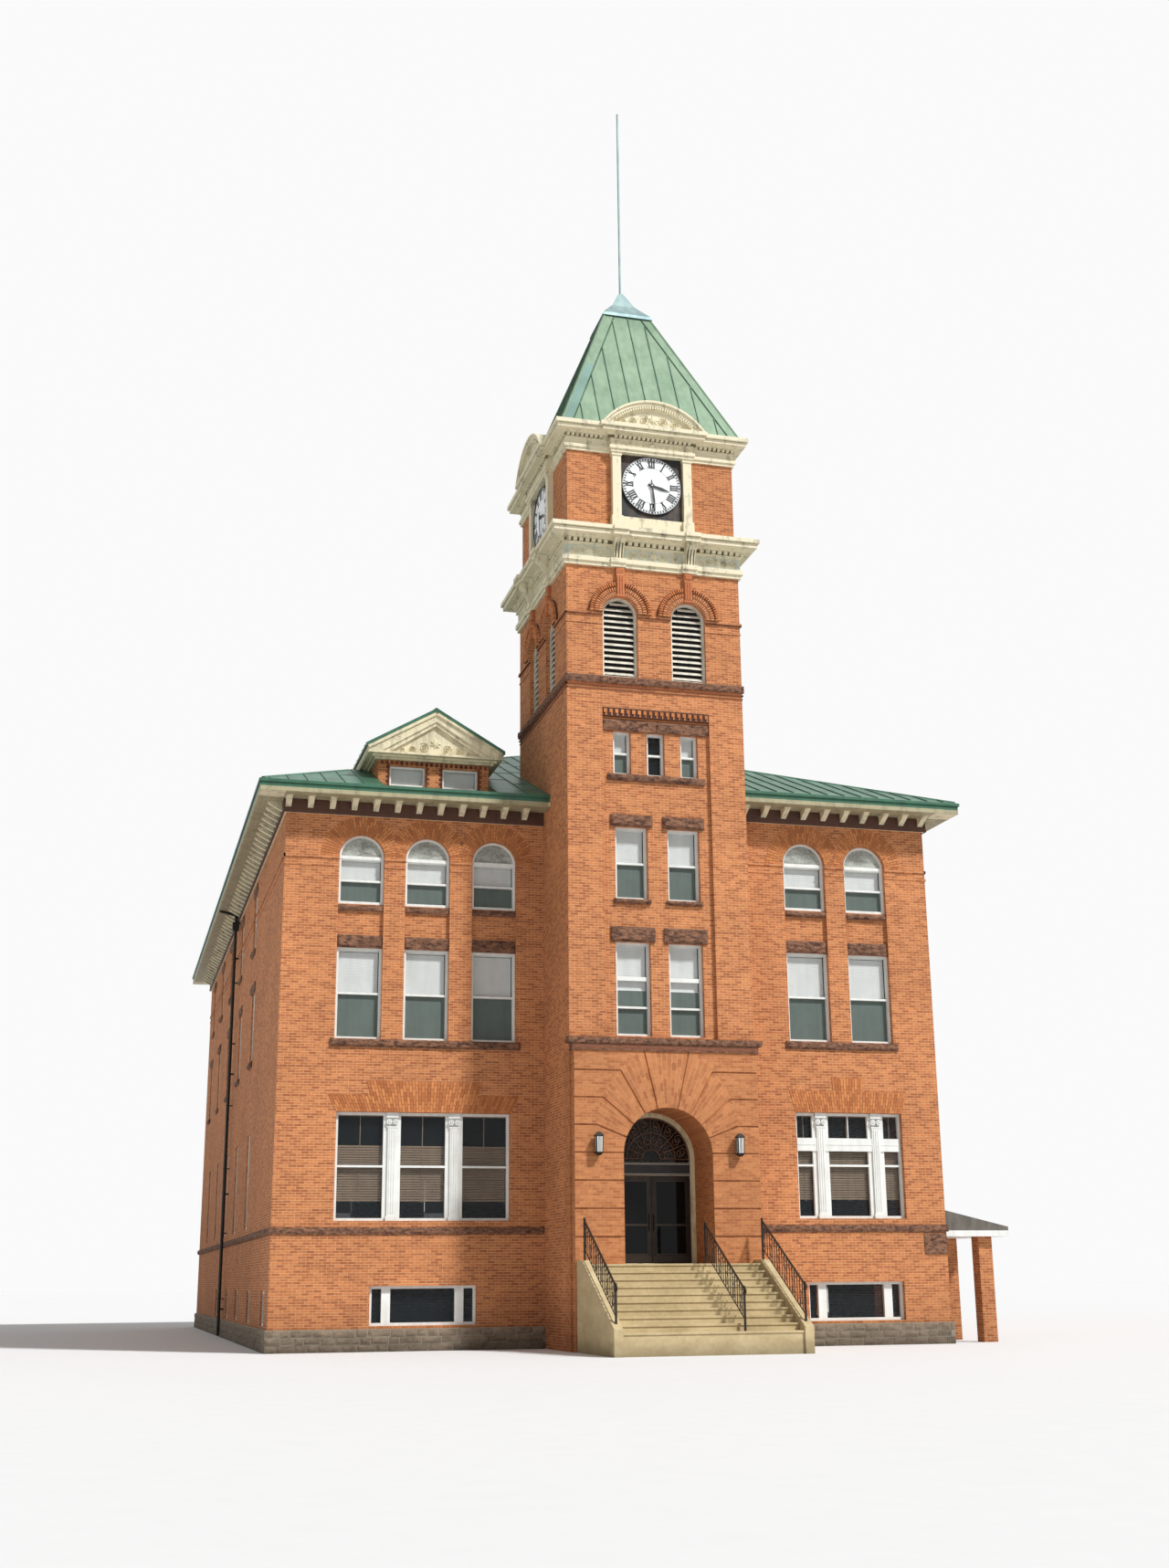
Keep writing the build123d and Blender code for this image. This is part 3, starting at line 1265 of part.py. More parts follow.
def tower_roof():
    """Pyramid roof of standing-seam metal, as a shell."""
    hx = CLOCK_HALF + UPPER_EDGE - ROOF_FOOT
    hy = CLOCK_HALF_DEPTH + UPPER_EDGE - ROOF_FOOT
    t = TOWER_ROOF_SHELL
    outer = frustum(hx, hy, TOWER_EAVE, ROOF_TOP_HALF, ROOF_TOP_HALF, TOWER_ROOF_TOP)
    inner = frustum(hx - t, hy - t, TOWER_EAVE, ROOF_TOP_HALF - t, ROOF_TOP_HALF - t,
                    TOWER_ROOF_TOP - t)
    pediments = joined([p for p in on_faces(pediment)])
    return outer - inner - pediments


def roof_cap():
    """Flared metal cap in two slopes on a skirt."""
    h = ROOF_TOP_HALF
    skirt = frustum(h + 60, h + 60, TOWER_ROOF_TOP, h + 20, h + 20, TOWER_ROOF_TOP + 120)
    low = frustum(h + 20, h + 20, TOWER_ROOF_TOP + 120, h * 0.5, h * 0.5, TOWER_ROOF_TOP + 600)
    high = frustum(h * 0.5, h * 0.5, TOWER_ROOF_TOP + 600, 70, 70, CAP_TOP)
    return joined([skirt, low, high])


save("tower_roof", tower_roof())
save("roof_cap", roof_cap() + Pos(0, 0, (CAP_TOP + ROD_TOP) / 2) * Cylinder(
    ROD_RADIUS, ROD_TOP - CAP_TOP))


# Roof of the wings
def hip(front, left, right, back, drop):
    """A hipped roof over a rectangle, lowered by a drop: two crossing wedges."""
    half = (right - left) / 2
    rise = half * ROOF_SLOPE
    z = EAVE_TOP - drop
    across = make_face(Polyline((left, z), (right, z), ((left + right) / 2, z + rise), close=True))
    wedge = Pos(0, back, 0) * extrude(Plane.XZ * across, back - front)
    along = make_face(Polyline((front, z), (back, z), (back - half, z + rise),
                               (front + half, z + rise), close=True))
    prism = Pos(left, 0, 0) * extrude(Plane.YZ * along, right - left)
    return wedge & prism


def roof_mass(drop, reach):
    """Both hips over one eave line, with the eave's depth below."""
    left = -LEFT_REACH - reach
    right = RIGHT_REACH + reach
    back = BACK + reach
    main = hip(LEFT_FRONT - reach, left, right, back, drop)
    wing = hip(RIGHT_FRONT - reach, -reach, right, back, drop)
    return main + wing


def eave_edge(reach):
    """The straight green edge under the roof, as a full plate."""
    left = -LEFT_REACH - reach
    right = RIGHT_REACH + reach
    back = BACK + reach
    z = (EAVE_BOTTOM, EAVE_TOP)
    return block(left, right, LEFT_FRONT - reach, back, *z) + block(
        -reach, right, RIGHT_FRONT - reach, back, *z)


def main_roof():
    """Standing-seam hip roof as a shell, cut around the tower and the dormer."""
    outer = roof_mass(0, EAVE_REACH) + eave_edge(EAVE_REACH)
    inner = roof_mass(ROOF_SHELL, EAVE_REACH)
    hollow = block(-LEFT_REACH + WALL, RIGHT_REACH - WALL, LEFT_FRONT + WALL, BACK - WALL,
                   EAVE_BOTTOM, EAVE_TOP)
    hollow += block(0, RIGHT_REACH - WALL, RIGHT_FRONT + WALL, BACK - WALL, EAVE_BOTTOM, EAVE_TOP)
    low = hollow + (inner & block(-LEFT_REACH * 2, RIGHT_REACH * 2, FRONT * 3, BACK * 2,
                                  EAVE_TOP - ROOF_SHELL, EAVE_TOP * 2))
    tower = block(-TOWER_HALF, TOWER_HALF, FRONT - TOWER_DEPTH, TOWER_BACK, EAVE_BOTTOM,
                  EAVE_TOP * 2)
    room = block(DORMER_LEFT, DORMER_RIGHT, DORMER_FRONT, DORMER_BACK, EAVE_TOP - ROOF_SHELL,
                 DORMER_APEX * 2)
    room += block(DORMER_LEFT, DORMER_RIGHT, LEFT_FRONT - EAVE_REACH, DORMER_FRONT, EAVE_TOP,
                  DORMER_APEX)
    deck = block(DORMER_LEFT, DORMER_RIGHT, LEFT_FRONT - EAVE_REACH + GUTTER_FACE, DORMER_FRONT,
                 EAVE_TOP - DORMER_DECK, EAVE_TOP)
    gutter = eave_edge(EAVE_REACH + 1) - eave_edge(EAVE_REACH - GUTTER_FACE)
    gutter &= block(-LEFT_REACH * 2, RIGHT_REACH * 2, FRONT * 3, BACK * 2, EAVE_BOTTOM,
                    EAVE_TOP - GUTTER_RIM)
    roof = outer - low - tower - room - gutter + deck
    return roof - dormer_pediment() - dormer_roof()


GUTTER_RIM = 70
DORMER_DECK = 80           # flat metal deck between the gutter and the dormer
DORMER_BACK = DORMER_FRONT + DORMER_DEPTH
DORMER_SHELF = DORMER_WINDOW[1] + 150
DORMER_CORNICE = 180
DORMER_RAKE = 190          # height of the raking cornice's ends over the shelf
DORMER_APEX = DORMER_SHELF + DORMER_CORNICE + 1250
DORMER_WALL = 250
DORMER_REACH = 330
DORMER_ROOF = 70
TYMPANUM_INSET = 500       # from the raking cornice's end to the sunk field
TYMPANUM_APEX = 430        # below the gable's apex


def dormer_walls():
    """Brick front with two windows and cheeks running back into the roof."""
    z = (EAVE_TOP, DORMER_SHELF)
    front = block(DORMER_LEFT, DORMER_RIGHT, DORMER_FRONT, DORMER_FRONT + DORMER_WALL, *z)
    left = block(DORMER_LEFT, DORMER_LEFT + DORMER_WALL, DORMER_FRONT, DORMER_BACK, *z)
    right = block(DORMER_RIGHT - DORMER_WALL, DORMER_RIGHT, DORMER_FRONT, DORMER_BACK, *z)
    body = front + left + right
    for x0, x1 in dormer_lights():
        body -= block(x0, x1, DORMER_FRONT - 1, DORMER_FRONT + DORMER_WALL + 1, *DORMER_WINDOW)
    return body


def dormer_gable(reach, z0, z1, z2, front, back):
    """A gable prism over the dormer: upright ends from z0 to z1, then up to the ridge."""
    middle = (DORMER_LEFT + DORMER_RIGHT) / 2
    left = DORMER_LEFT - reach
    right = DORMER_RIGHT + reach
    points = [(left, z0), (right, z0), (middle, z2)]
    if z1 > z0:
        points = [(left, z0), (right, z0), (right, z1), (middle, z2), (left, z1)]
    return Pos(0, back, 0) * extrude(Plane.XZ * make_face(Polyline(*points, close=True)),
                                     back - front)


def dormer_pediment():
    """Painted cornice and gable over the dormer's windows, with a sunk field."""
    z = DORMER_SHELF + DORMER_CORNICE
    front = DORMER_FRONT - DORMER_REACH
    body = dormer_gable(DORMER_REACH, z, z + DORMER_RAKE, DORMER_APEX, front,
                        DORMER_FRONT + DORMER_WALL)
    for inset, low in ((220, 0), (140, DORMER_CORNICE * 0.3), (0, DORMER_CORNICE * 0.62)):
        body += block(DORMER_LEFT - DORMER_REACH + inset, DORMER_RIGHT + DORMER_REACH - inset,
                      front + inset, DORMER_BACK, DORMER_SHELF + low, z)
    for step, depth in ((0, 45), (110, 130)):
        inset = DORMER_REACH - TYMPANUM_INSET - 2 * step + 110
        body -= dormer_gable(inset, z, z, DORMER_APEX - TYMPANUM_APEX + 110 - step, front - 1,
                             front + depth)
    return body


def dormer_roof():
    """Green metal gable roof of the dormer, dying into the main roof."""
    front = DORMER_FRONT - DORMER_REACH
    z = DORMER_SHELF + DORMER_CORNICE
    eave = z + DORMER_RAKE
    outer = dormer_gable(DORMER_REACH + DORMER_ROOF, eave - DORMER_ROOF, eave,
                         DORMER_APEX + DORMER_ROOF, front - 30, DORMER_BACK)
    inner = dormer_gable(DORMER_REACH, z, eave, DORMER_APEX, front - 31, DORMER_BACK)
    return outer - inner


save("main_roof", main_roof())
save("dormer_walls", dormer_walls())
save("dormer_pediment", dormer_pediment())
save("dormer_roof", dormer_roof())


# Eaves of the wings
MODILLION_PITCH = 590
MODILLION_WIDTH = 150
MODILLION_REACH = 430
MODILLION_HEIGHT = 260
FRIEZE_REACH = 70


def main_cornice():
    """Painted frieze, boarded soffit and the fascia behind the green edge."""
    body = plan_ring(0, FRIEZE_REACH, BRICK_TOP, SOFFIT)
    body += plan_ring(0, FRIEZE_REACH + 25, BRICK_TOP, BRICK_TOP + 70)
    body += plan_ring(-WALL, EAVE_REACH - GUTTER_FACE, SOFFIT, EAVE_BOTTOM)
    return body


def bracket():
    """A small scroll bracket standing out from a wall at the origin along -y."""
    reach = MODILLION_REACH
    height = MODILLION_HEIGHT
    outline = Polyline((-FRIEZE_REACH, 0), (-reach, 0), (-reach, -height * 0.4),
                       (-reach * 0.45, -height), (-FRIEZE_REACH, -height), close=True)
    return extrude(Plane.YZ * make_face(outline), MODILLION_WIDTH / 2, both=True)


def modillions():
    """Small brackets under the soffit along every eave."""
    pieces = []
    turns = {("x", 1): 0, ("x", -1): 180, ("y", 1): -90, ("y", -1): 90}
    shape = bracket()

    def row(wall, start, stop):
        run, face, inward = WALLS[wall]
        count = int((stop - start) / MODILLION_PITCH)
        for i in range(count + 1):
            u = start + i * MODILLION_PITCH
            x, y = (u, face) if run == "x" else (face, u)
            pieces.append(Pos(x, y, SOFFIT) * Rot(0, 0, turns[run, inward]) * shape)
    row("front_left", -LEFT_REACH + 40, -TOWER_HALF - 200)
    row("front_right", TOWER_HALF + 230, RIGHT_REACH - 40)
    row("left", LEFT_FRONT + 500, BACK - 300)
    row("right", RIGHT_FRONT + 500, BACK - 300)
    row("rear", -LEFT_REACH + 500, RIGHT_REACH - 300)
    return apart(pieces)


save("main_cornice", main_cornice())
save("eave_brackets", modillions())


# Downspout, side porch and its door
DOWNSPOUT_Y = 18235
PIPE_STAND = 155
PIPE_RADIUS = 55
CLIP_LEVELS = (0.06, 0.32, 0.6, 0.88)    # as shares of the height


def downspout():
    """Round rain pipe down the left wall, standing off on clips."""
    x = -LEFT_REACH - PIPE_STAND
    y = FRONT + DOWNSPOUT_Y
    pipe = Pos(x, y, (SOFFIT + 60) / 2) * Cylinder(PIPE_RADIUS, SOFFIT - 60)
    clips = [block(x, -LEFT_REACH, y - 30, y + 30, z, z + 60)
             for z in (share * SOFFIT for share in CLIP_LEVELS)]
    return joined([pipe] + clips)


PORCH_FRONT = RIGHT_FRONT + 400
PORCH_DEPTH = 2900
PORCH_REACH = 2050
PORCH_EAVE = 2760
PORCH_TOP = 3480
PIER = 400


def porch_roof():
    """Lean-to roof of the side entrance."""
    x0, x1 = RIGHT_REACH, RIGHT_REACH + PORCH_REACH
    side = make_face(Polyline((x0, PORCH_EAVE), (x1, PORCH_EAVE), (x1, PORCH_EAVE + 240),
                              (x0, PORCH_TOP), close=True))
    body = Pos(0, PORCH_FRONT + PORCH_DEPTH, 0) * extrude(Plane.XZ * side, PORCH_DEPTH)
    return body - plan_ring(0, STONE_REACH, WATER_TABLE_BOTTOM, WATER_TABLE_TOP)


def porch_piers():
    """Two brick piers under the outer edge of the porch roof."""
    x1 = RIGHT_REACH + PORCH_REACH - 420
    pieces = []
    for y in (PORCH_FRONT + 200, PORCH_FRONT + PORCH_DEPTH - 200 - PIER):
        pieces.append(block(x1 - PIER, x1, y, y + PIER, 0, PORCH_EAVE))
    return apart(pieces)


def side_door():
    """Plain panelled door of the side entrance, closed."""
    u0 = SIDE_DOOR_Y - SIDE_DOOR_WIDTH / 2
    u1 = SIDE_DOOR_Y + SIDE_DOOR_WIDTH / 2
    leaf = on_wall("right", u0, u1, 150, 210, FOUNDATION_TOP, SIDE_DOOR_TOP)
    for z0, z1 in ((800, 1400), (1500, 2300)):
        leaf -= on_wall("right", u0 + 140, u1 - 140, 150, 165, z0, z1)
    return leaf


save("downspout", downspout())
save("porch_roof", porch_roof())
save("porch_piers", porch_piers())
save("side_door", side_door())
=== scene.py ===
import bpy
import math
import numpy as np
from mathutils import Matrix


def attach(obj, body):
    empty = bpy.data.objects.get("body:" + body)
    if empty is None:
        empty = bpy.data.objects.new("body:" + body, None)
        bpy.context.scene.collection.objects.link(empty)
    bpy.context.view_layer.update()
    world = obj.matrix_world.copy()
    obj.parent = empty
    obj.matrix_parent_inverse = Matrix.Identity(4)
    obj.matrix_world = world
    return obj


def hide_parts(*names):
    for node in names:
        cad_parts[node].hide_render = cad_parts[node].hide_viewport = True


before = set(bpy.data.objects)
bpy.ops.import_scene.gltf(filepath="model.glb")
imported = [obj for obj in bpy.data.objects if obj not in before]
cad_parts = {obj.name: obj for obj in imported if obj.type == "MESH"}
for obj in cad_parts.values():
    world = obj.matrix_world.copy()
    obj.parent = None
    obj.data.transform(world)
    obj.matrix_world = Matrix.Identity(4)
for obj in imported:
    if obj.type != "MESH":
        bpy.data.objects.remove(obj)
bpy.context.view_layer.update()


# Viewpoint, light and floor. The camera stands across the street at eye height, left of the
# tower, with a normal lens, and looks up. A broad key light comes from the right and above,
# and pale surroundings fill the shade.
EYE = (-13.933, -46.754, 1.65)
EYE_YAW = 0.2644           # radians right of straight ahead
EYE_PITCH = 0.2729         # radians above level
EYE_ROLL = -0.009
FILM_SIDE = 36.0           # mm, on the picture's long side
FOCAL_PIXELS = 1947.57
PICTURE_HEIGHT = 1717
VIEW_END = 1000
KEY_ENERGY = 3.9
KEY_ANGLE = 0.10           # radians, the lamp's spread
KEY_FROM = (0.50, -0.62, 0.86)
KEY_DISTANCE = 60
SURROUND_LIGHT = 0.40      # that falls on the object
BACKDROP_LIGHT = 0.96      # that the camera, mirrors and glass see
FLOOR_HALF = 400.0


def linear(colour):
    """An sRGB hex colour as linear RGBA: c / 12.92 when small, else ((c + 0.055) / 1.055)
    to the power of 2.4."""
    c = np.array([int(colour[i:i + 2], 16) for i in (1, 3, 5)]) / 255
    return (*np.where(c <= 0.04045, c / 12.92, ((c + 0.055) / 1.055) ** 2.4), 1.0)


def fill(tree, node, inputs):
    """Give each named input of a node a value or a link."""
    for key, value in inputs.items():
        if isinstance(value, bpy.types.NodeSocket):
            tree.links.new(value, node.inputs[key])
        else:
            node.inputs[key].default_value = value


def add(tree, kind, inputs=(), **settings):
    """Add one node, set its properties, and give each named input a value or a link."""
    made = tree.nodes.new(kind)
    for key, value in settings.items():
        setattr(made, key, value)
    fill(tree, made, dict(inputs))
    return made


def arithmetic(tree, operation, *values):
    """The result of one arithmetic node on numbers or links."""
    return add(tree, "ShaderNodeMath", dict(enumerate(values)), operation=operation).outputs[0]


def ranged(tree, value, low, high, to_low=0.0, to_high=1.0):
    """A value held between two limits and carried over to two others."""
    return add(tree, "ShaderNodeMapRange", {"Value": value, "From Min": low, "From Max": high,
                                            "To Min": to_low, "To Max": to_high}).outputs[0]


def look(pitch, yaw, roll):
    """Camera axes: forward from yaw and pitch, then right and up turned about it by the roll."""
    forward = np.array([math.cos(pitch) * math.sin(yaw), math.cos(pitch) * math.cos(yaw),
                        math.sin(pitch)])
    right = np.array([math.cos(yaw), -math.sin(yaw), 0.0])
    up = np.cross(right, forward)
    across = math.cos(roll) * right + math.sin(roll) * up
    return np.column_stack([across, np.cross(across, forward), -forward])


def seat(item, axes, spot):
    """Put a camera or a lamp at a spot, with its own three axes as columns."""
    bpy.context.scene.collection.objects.link(item)
    held = np.eye(4)
    held[:3, :3] = axes
    held[:3, 3] = spot
    item.matrix_world = held.T.tolist()


camera = bpy.data.objects.new("camera", bpy.data.cameras.new("camera"))
camera.data.sensor_width = FILM_SIDE
camera.data.lens = FOCAL_PIXELS * FILM_SIDE / PICTURE_HEIGHT
camera.data.clip_end = VIEW_END
seat(camera, look(EYE_PITCH, EYE_YAW, EYE_ROLL), EYE)
bpy.context.scene.camera = camera
bpy.context.scene.view_settings.view_transform = "Standard"

key = bpy.data.objects.new("key_light", bpy.data.lights.new("key_light", "SUN"))
key.data.energy = KEY_ENERGY
key.data.angle = KEY_ANGLE
side = np.array(KEY_FROM) / np.linalg.norm(KEY_FROM)
across = np.cross((0, 0, 1), side) / np.linalg.norm(np.cross((0, 0, 1), side))
seat(key, np.column_stack([across, np.cross(side, across), side]), side * KEY_DISTANCE)

world = bpy.data.worlds.new("surroundings")
bpy.context.scene.world = world
world.use_nodes = True
tree = world.node_tree
tree.nodes.clear()
ray = add(tree, "ShaderNodeLightPath").outputs
seen = arithmetic(tree, "MAXIMUM", ray["Is Camera Ray"], ray["Is Glossy Ray"])
seen = arithmetic(tree, "MAXIMUM", seen, ray["Is Transmission Ray"])
backdrop = add(tree, "ShaderNodeBackground", {
    "Color": (1, 1, 1, 1), "Strength": ranged(tree, seen, 0.0, 1.0, SURROUND_LIGHT,
                                              BACKDROP_LIGHT)})
add(tree, "ShaderNodeOutputWorld", {"Surface": backdrop.outputs[0]})


def finish(name):
    """A new material: itself, its node tree, its shader and the object's own coordinates."""
    made = bpy.data.materials.new(name)
    made.use_nodes = True
    tree = made.node_tree
    return made, tree, tree.nodes["Principled BSDF"], add(
        tree, "ShaderNodeTexCoord").outputs["Object"]


def noise(tree, place, scale, detail, roughness=0.5):
    """Noise in 0 to 1, at so many lumps a metre."""
    return add(tree, "ShaderNodeTexNoise", {"Vector": place, "Scale": scale, "Detail": detail,
                                            "Roughness": roughness}).outputs["Fac"]


# Studio floor: smooth matt board with a faint tooth.
floor_paint, tree, shader, place = finish("studio_floor")
shade = ranged(tree, noise(tree, place, 2.0, 3.0), 0.0, 1.0, 0.68, 0.72)
tint = add(tree, "ShaderNodeCombineColor", {"Red": shade, "Green": shade, "Blue": shade})
fill(tree, shader, {"Base Color": tint.outputs[0], "Roughness": 0.8})


def gather(surfaces):
    """Several surfaces as one: their points in a row, with each one's face corners shifted."""
    points, faces, start = [], [], 0
    for own, groups in surfaces:
        own = np.asarray(own, float).reshape(-1, 3)
        points.append(own)
        faces += [np.asarray(group) + start for group in groups]
        start += len(own)
    return np.concatenate(points), faces


def new_piece(name, surfaces, material, body="building"):
    """Make a mesh object from surfaces, each as points and lists of face corners, and ride it on
    a body."""
    points, faces = gather(surfaces)
    mesh = bpy.data.meshes.new(name)
    mesh.from_pydata(points.tolist(), [], [face for group in faces for face in group.tolist()])
    mesh.materials.append(material)
    piece = bpy.data.objects.new(name, mesh)
    bpy.context.scene.collection.objects.link(piece)
    if body is None:
        return piece
    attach(piece, body)
    return piece


corners = [(x * FLOOR_HALF, y * FLOOR_HALF, 0) for x, y in ((-1, -1), (1, -1), (1, 1), (-1, 1))]
new_piece("studio_floor", [(corners, [[(0, 1, 2, 3)]])], floor_paint, body=None)


# Brick walls of the wings and the tower. Pressed clay bricks of 203 by 59 mm in running bond
# with light lime mortar, laid with flush joints; kiln heat gave each a slightly different red.
BRICK_LENGTH = 0.2120      # with its joint
COURSE = 0.0686            # height of a course with its joint
JOINT = 0.0090
FACING = 0.6               # a normal's part along an axis, from which a face counts as its own
DAMP_HEIGHT = 1.6          # rising damp darkens the walls up to it
CROWN_ANGLE = math.radians(70)


def scaled(tree, colour, factor):
    """A colour times a factor."""
    return add(tree, "ShaderNodeVectorMath", {0: colour, "Scale": factor},
               operation="SCALE").outputs[0]


def pits(tree, height, strength, distance):
    """A normal bent by a height in 0 to 1, over a depth in metres."""
    return add(tree, "ShaderNodeBump", {"Strength": strength, "Distance": distance,
                                        "Height": height}).outputs[0]


def brickwork(name, light, dark, mortar, arch=None):
    """Fired brick: coursing follows each face; arch gives a centre height and radii whose bricks
    radiate, so that courses follow the angle round the centre and lengths the radius."""
    made, tree, shader, place = finish(name)
    split = add(tree, "ShaderNodeSeparateXYZ", {0: place}).outputs
    facing = add(tree, "ShaderNodeSeparateXYZ", {
        0: add(tree, "ShaderNodeNewGeometry").outputs["True Normal"]}).outputs

    def choose(factor, first, second):
        """The first value where the factor is 0, the second where it is 1."""
        return add(tree, "ShaderNodeMix", {"Factor": factor, "A": first,
                                           "B": second}).outputs["Result"]

    turned, level = [arithmetic(tree, "GREATER_THAN", arithmetic(tree, "ABSOLUTE", facing[axis]),
                                FACING) for axis in "XZ"]
    along = choose(turned, split["X"], split["Y"])
    rise = choose(level, split["Z"], split["Y"])
    if arch:
        height, inner, base, growth = arch
        up = arithmetic(tree, "SUBTRACT", split["Z"], height)
        angle = arithmetic(tree, "ARCTAN2", up, split["X"])
        flat = add(tree, "ShaderNodeCombineXYZ", {"X": split["X"], "Y": up}).outputs[0]
        radius = add(tree, "ShaderNodeVectorMath", {0: flat}, operation="LENGTH").outputs["Value"]
        lean = arithmetic(tree, "ABSOLUTE", arithmetic(tree, "SUBTRACT", angle, math.pi / 2))
        limit = arithmetic(tree, "MULTIPLY_ADD", lean, -growth, base + growth * math.pi / 2)
        ring = arithmetic(tree, "MULTIPLY", arithmetic(tree, "LESS_THAN", radius, limit),
                          arithmetic(tree, "LESS_THAN", lean, CROWN_ANGLE))
        along = choose(ring, along, radius)
        rise = choose(ring, rise, arithmetic(tree, "MULTIPLY", angle, inner))
    wall = add(tree, "ShaderNodeCombineXYZ", {"X": along, "Y": rise}).outputs[0]
    bricks = add(tree, "ShaderNodeTexBrick", {
        "Vector": wall, "Color1": linear(light), "Color2": linear(dark),
        "Mortar": linear(mortar), "Scale": 1.0, "Mortar Size": JOINT / 2, "Mortar Smooth": 0.25,
        "Bias": -0.1, "Brick Width": BRICK_LENGTH, "Row Height": COURSE}).outputs
    grains = noise(tree, place, 9.0, 5.0, 0.65)
    tone = arithmetic(tree, "MULTIPLY",
                      ranged(tree, noise(tree, place, 0.45, 4.0), 0.3, 0.7, 0.90, 1.08),
                      ranged(tree, grains, 0.3, 0.7, 0.86, 1.12))
    tone = arithmetic(tree, "MULTIPLY", tone,
                      ranged(tree, split["Z"], 0.0, DAMP_HEIGHT, 0.72, 1.0))
    height = arithmetic(tree, "MULTIPLY_ADD", bricks["Fac"], -1.0, grains)
    fill(tree, shader, {"Base Color": scaled(tree, bricks["Color"], tone), "Roughness": 0.88,
                        "Specular IOR Level": 0.25, "Normal": pits(tree, height, 0.7, 0.006)})
    return made


def dress(material, *nodes):
    """Give a finish to the frame's own pieces, and pass it on for others."""
    for name in nodes:
        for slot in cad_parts[name].material_slots:
            slot.material = material
    return material


wall_brick = dress(
    brickwork("pressed_brick", "#C57E4E", "#9A5834", "#D9B892"), "front_wall_left",
    "front_wall_right", "side_wall_left", "side_wall_right", "rear_wall", "tower_front_wall",
    "tower_left_wall", "tower_right_wall", "tower_rear_wall", "clock_stage_walls",
    "dormer_walls", "porch_piers", "belfry_arches")
dress(brickwork("portal_brick", "#BE7D50", "#A1623D", "#C0936C", arch=(4.72, 1.18, 1.77, 0.67)),
      "portal_jambs", "portal_arch")


# Rubble foundation and stonework. Grey-brown fieldstone, split by hammer and bedded in wide lime
# mortar, with soil splashed over its foot; brownstone trim; cast concrete steps and cheeks.
STONE_MIDDLE = 0.73        # the middle of the blended noise


def tones(tree, factor, first, second):
    """A colour from the first to the second as the factor goes from 0 to 1."""
    return add(tree, "ShaderNodeMix", {"Factor": factor, "A": linear(first),
                                       "B": linear(second)}, data_type="RGBA").outputs["Result"]


def stretched(tree, place, across, down):
    """Coordinates scaled alike along both level axes, and otherwise along the upright one."""
    return add(tree, "ShaderNodeMapping", {"Vector": place,
                                           "Scale": (across, across, down)}).outputs[0]


def quarried(name, light, dark, grain, depth, roughness=0.92, soil=0.0, spread=0.25):
    """Split stone: two sizes of noise mix a light and a dark bed, the sharper the smaller their
    spread, and the same noise is relief."""
    made, tree, shader, place = finish(name)
    coarse = noise(tree, stretched(tree, place, 1.0, 2.2), 1 / grain, 6.0, 0.62)
    fine = noise(tree, place, 9 / grain, 4.0)
    blend = arithmetic(tree, "MULTIPLY_ADD", fine, 0.45, coarse)
    colour = tones(tree, ranged(tree, blend, STONE_MIDDLE - spread, STONE_MIDDLE + spread), dark,
                   light)
    if soil:
        z = add(tree, "ShaderNodeSeparateXYZ", {0: place}).outputs["Z"]
        colour = scaled(tree, colour, ranged(tree, z, 0.0, soil, 0.55, 1.0))
    fill(tree, shader, {"Base Color": colour, "Roughness": roughness,
                        "Normal": pits(tree, blend, 0.8, depth)})
    return made


rubble = quarried("fieldstone", "#94826F", "#5A4F40", 0.30, 0.02, soil=0.5)
brownstone = dress(quarried("brownstone", "#94694F", "#3A231A", 0.15, 0.04, spread=0.15),
                   "stone_trim", "water_table")
dress(quarried("lime_mortar", "#A39A88", "#7E7665", 0.05, 0.004, soil=0.5), "foundation_walls")
dress(quarried("cast_concrete", "#C9B78F", "#A8946E", 0.9, 0.003, soil=0.4), "front_steps",
      "stair_cheek_walls", "basement_floor")


# Painted wood and sheet metal. Oil paint over pine or pressed zinc, weathered: rain carries
# soot down the faces and the paint thins to grey along noise patches.
def painted(name, colour, stain, amount=0.4, roughness=0.55, metal=0.0):
    """Paint: stain shows where stretched noise passes a threshold set by the amount."""
    made, tree, shader, place = finish(name)
    rain = noise(tree, stretched(tree, place, 6.0, 0.8), 1.0, 5.0, 0.6)
    blots = noise(tree, place, 2.6, 6.0, 0.7)
    shown = ranged(tree, arithmetic(tree, "MULTIPLY", rain, blots), 0.40 - 0.22 * amount,
                   0.16 - 0.08 * amount, 0.0, amount)
    matt = ranged(tree, blots, 0.0, 1.0, roughness - 0.12, min(roughness + 0.2, 1.0))
    tooth = pits(tree, noise(tree, place, 60.0, 2.0), 0.25, 0.002)
    fill(tree, shader, {"Base Color": tones(tree, shown, colour, stain), "Roughness": matt,
                        "Metallic": metal, "Normal": tooth})
    return made


cream = dress(painted("cream_oil_paint", "#D9CFAE", "#5C5240", amount=0.6), "door_frame",
              "main_cornice", "eave_brackets", "dormer_pediment")
cornice_cream = dress(painted("cream_pressed_metal", "#DDD4B6", "#4A4234", amount=0.8),
                      "lower_cornice", "upper_cornice", "clock_pilasters")
white = dress(painted("white_enamel", "#E4E6E2", "#9A968A", amount=0.25, roughness=0.4),
              "wing_window_frames", "tower_window_frames")
louver_white = dress(painted("louver_paint", "#DDD8C8", "#6E675A", amount=0.5),
                     "belfry_louvers")
black_iron = dress(painted("black_iron", "#15140F", "#3A2B20", amount=0.3, roughness=0.45,
                           metal=0.3), "stair_railings", "portal_lanterns", "downspout")
hand_black = dress(painted("hand_enamel", "#0C0C0E", "#26262A", amount=0.2, roughness=0.4),
                   *[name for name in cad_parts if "_hand_" in name])
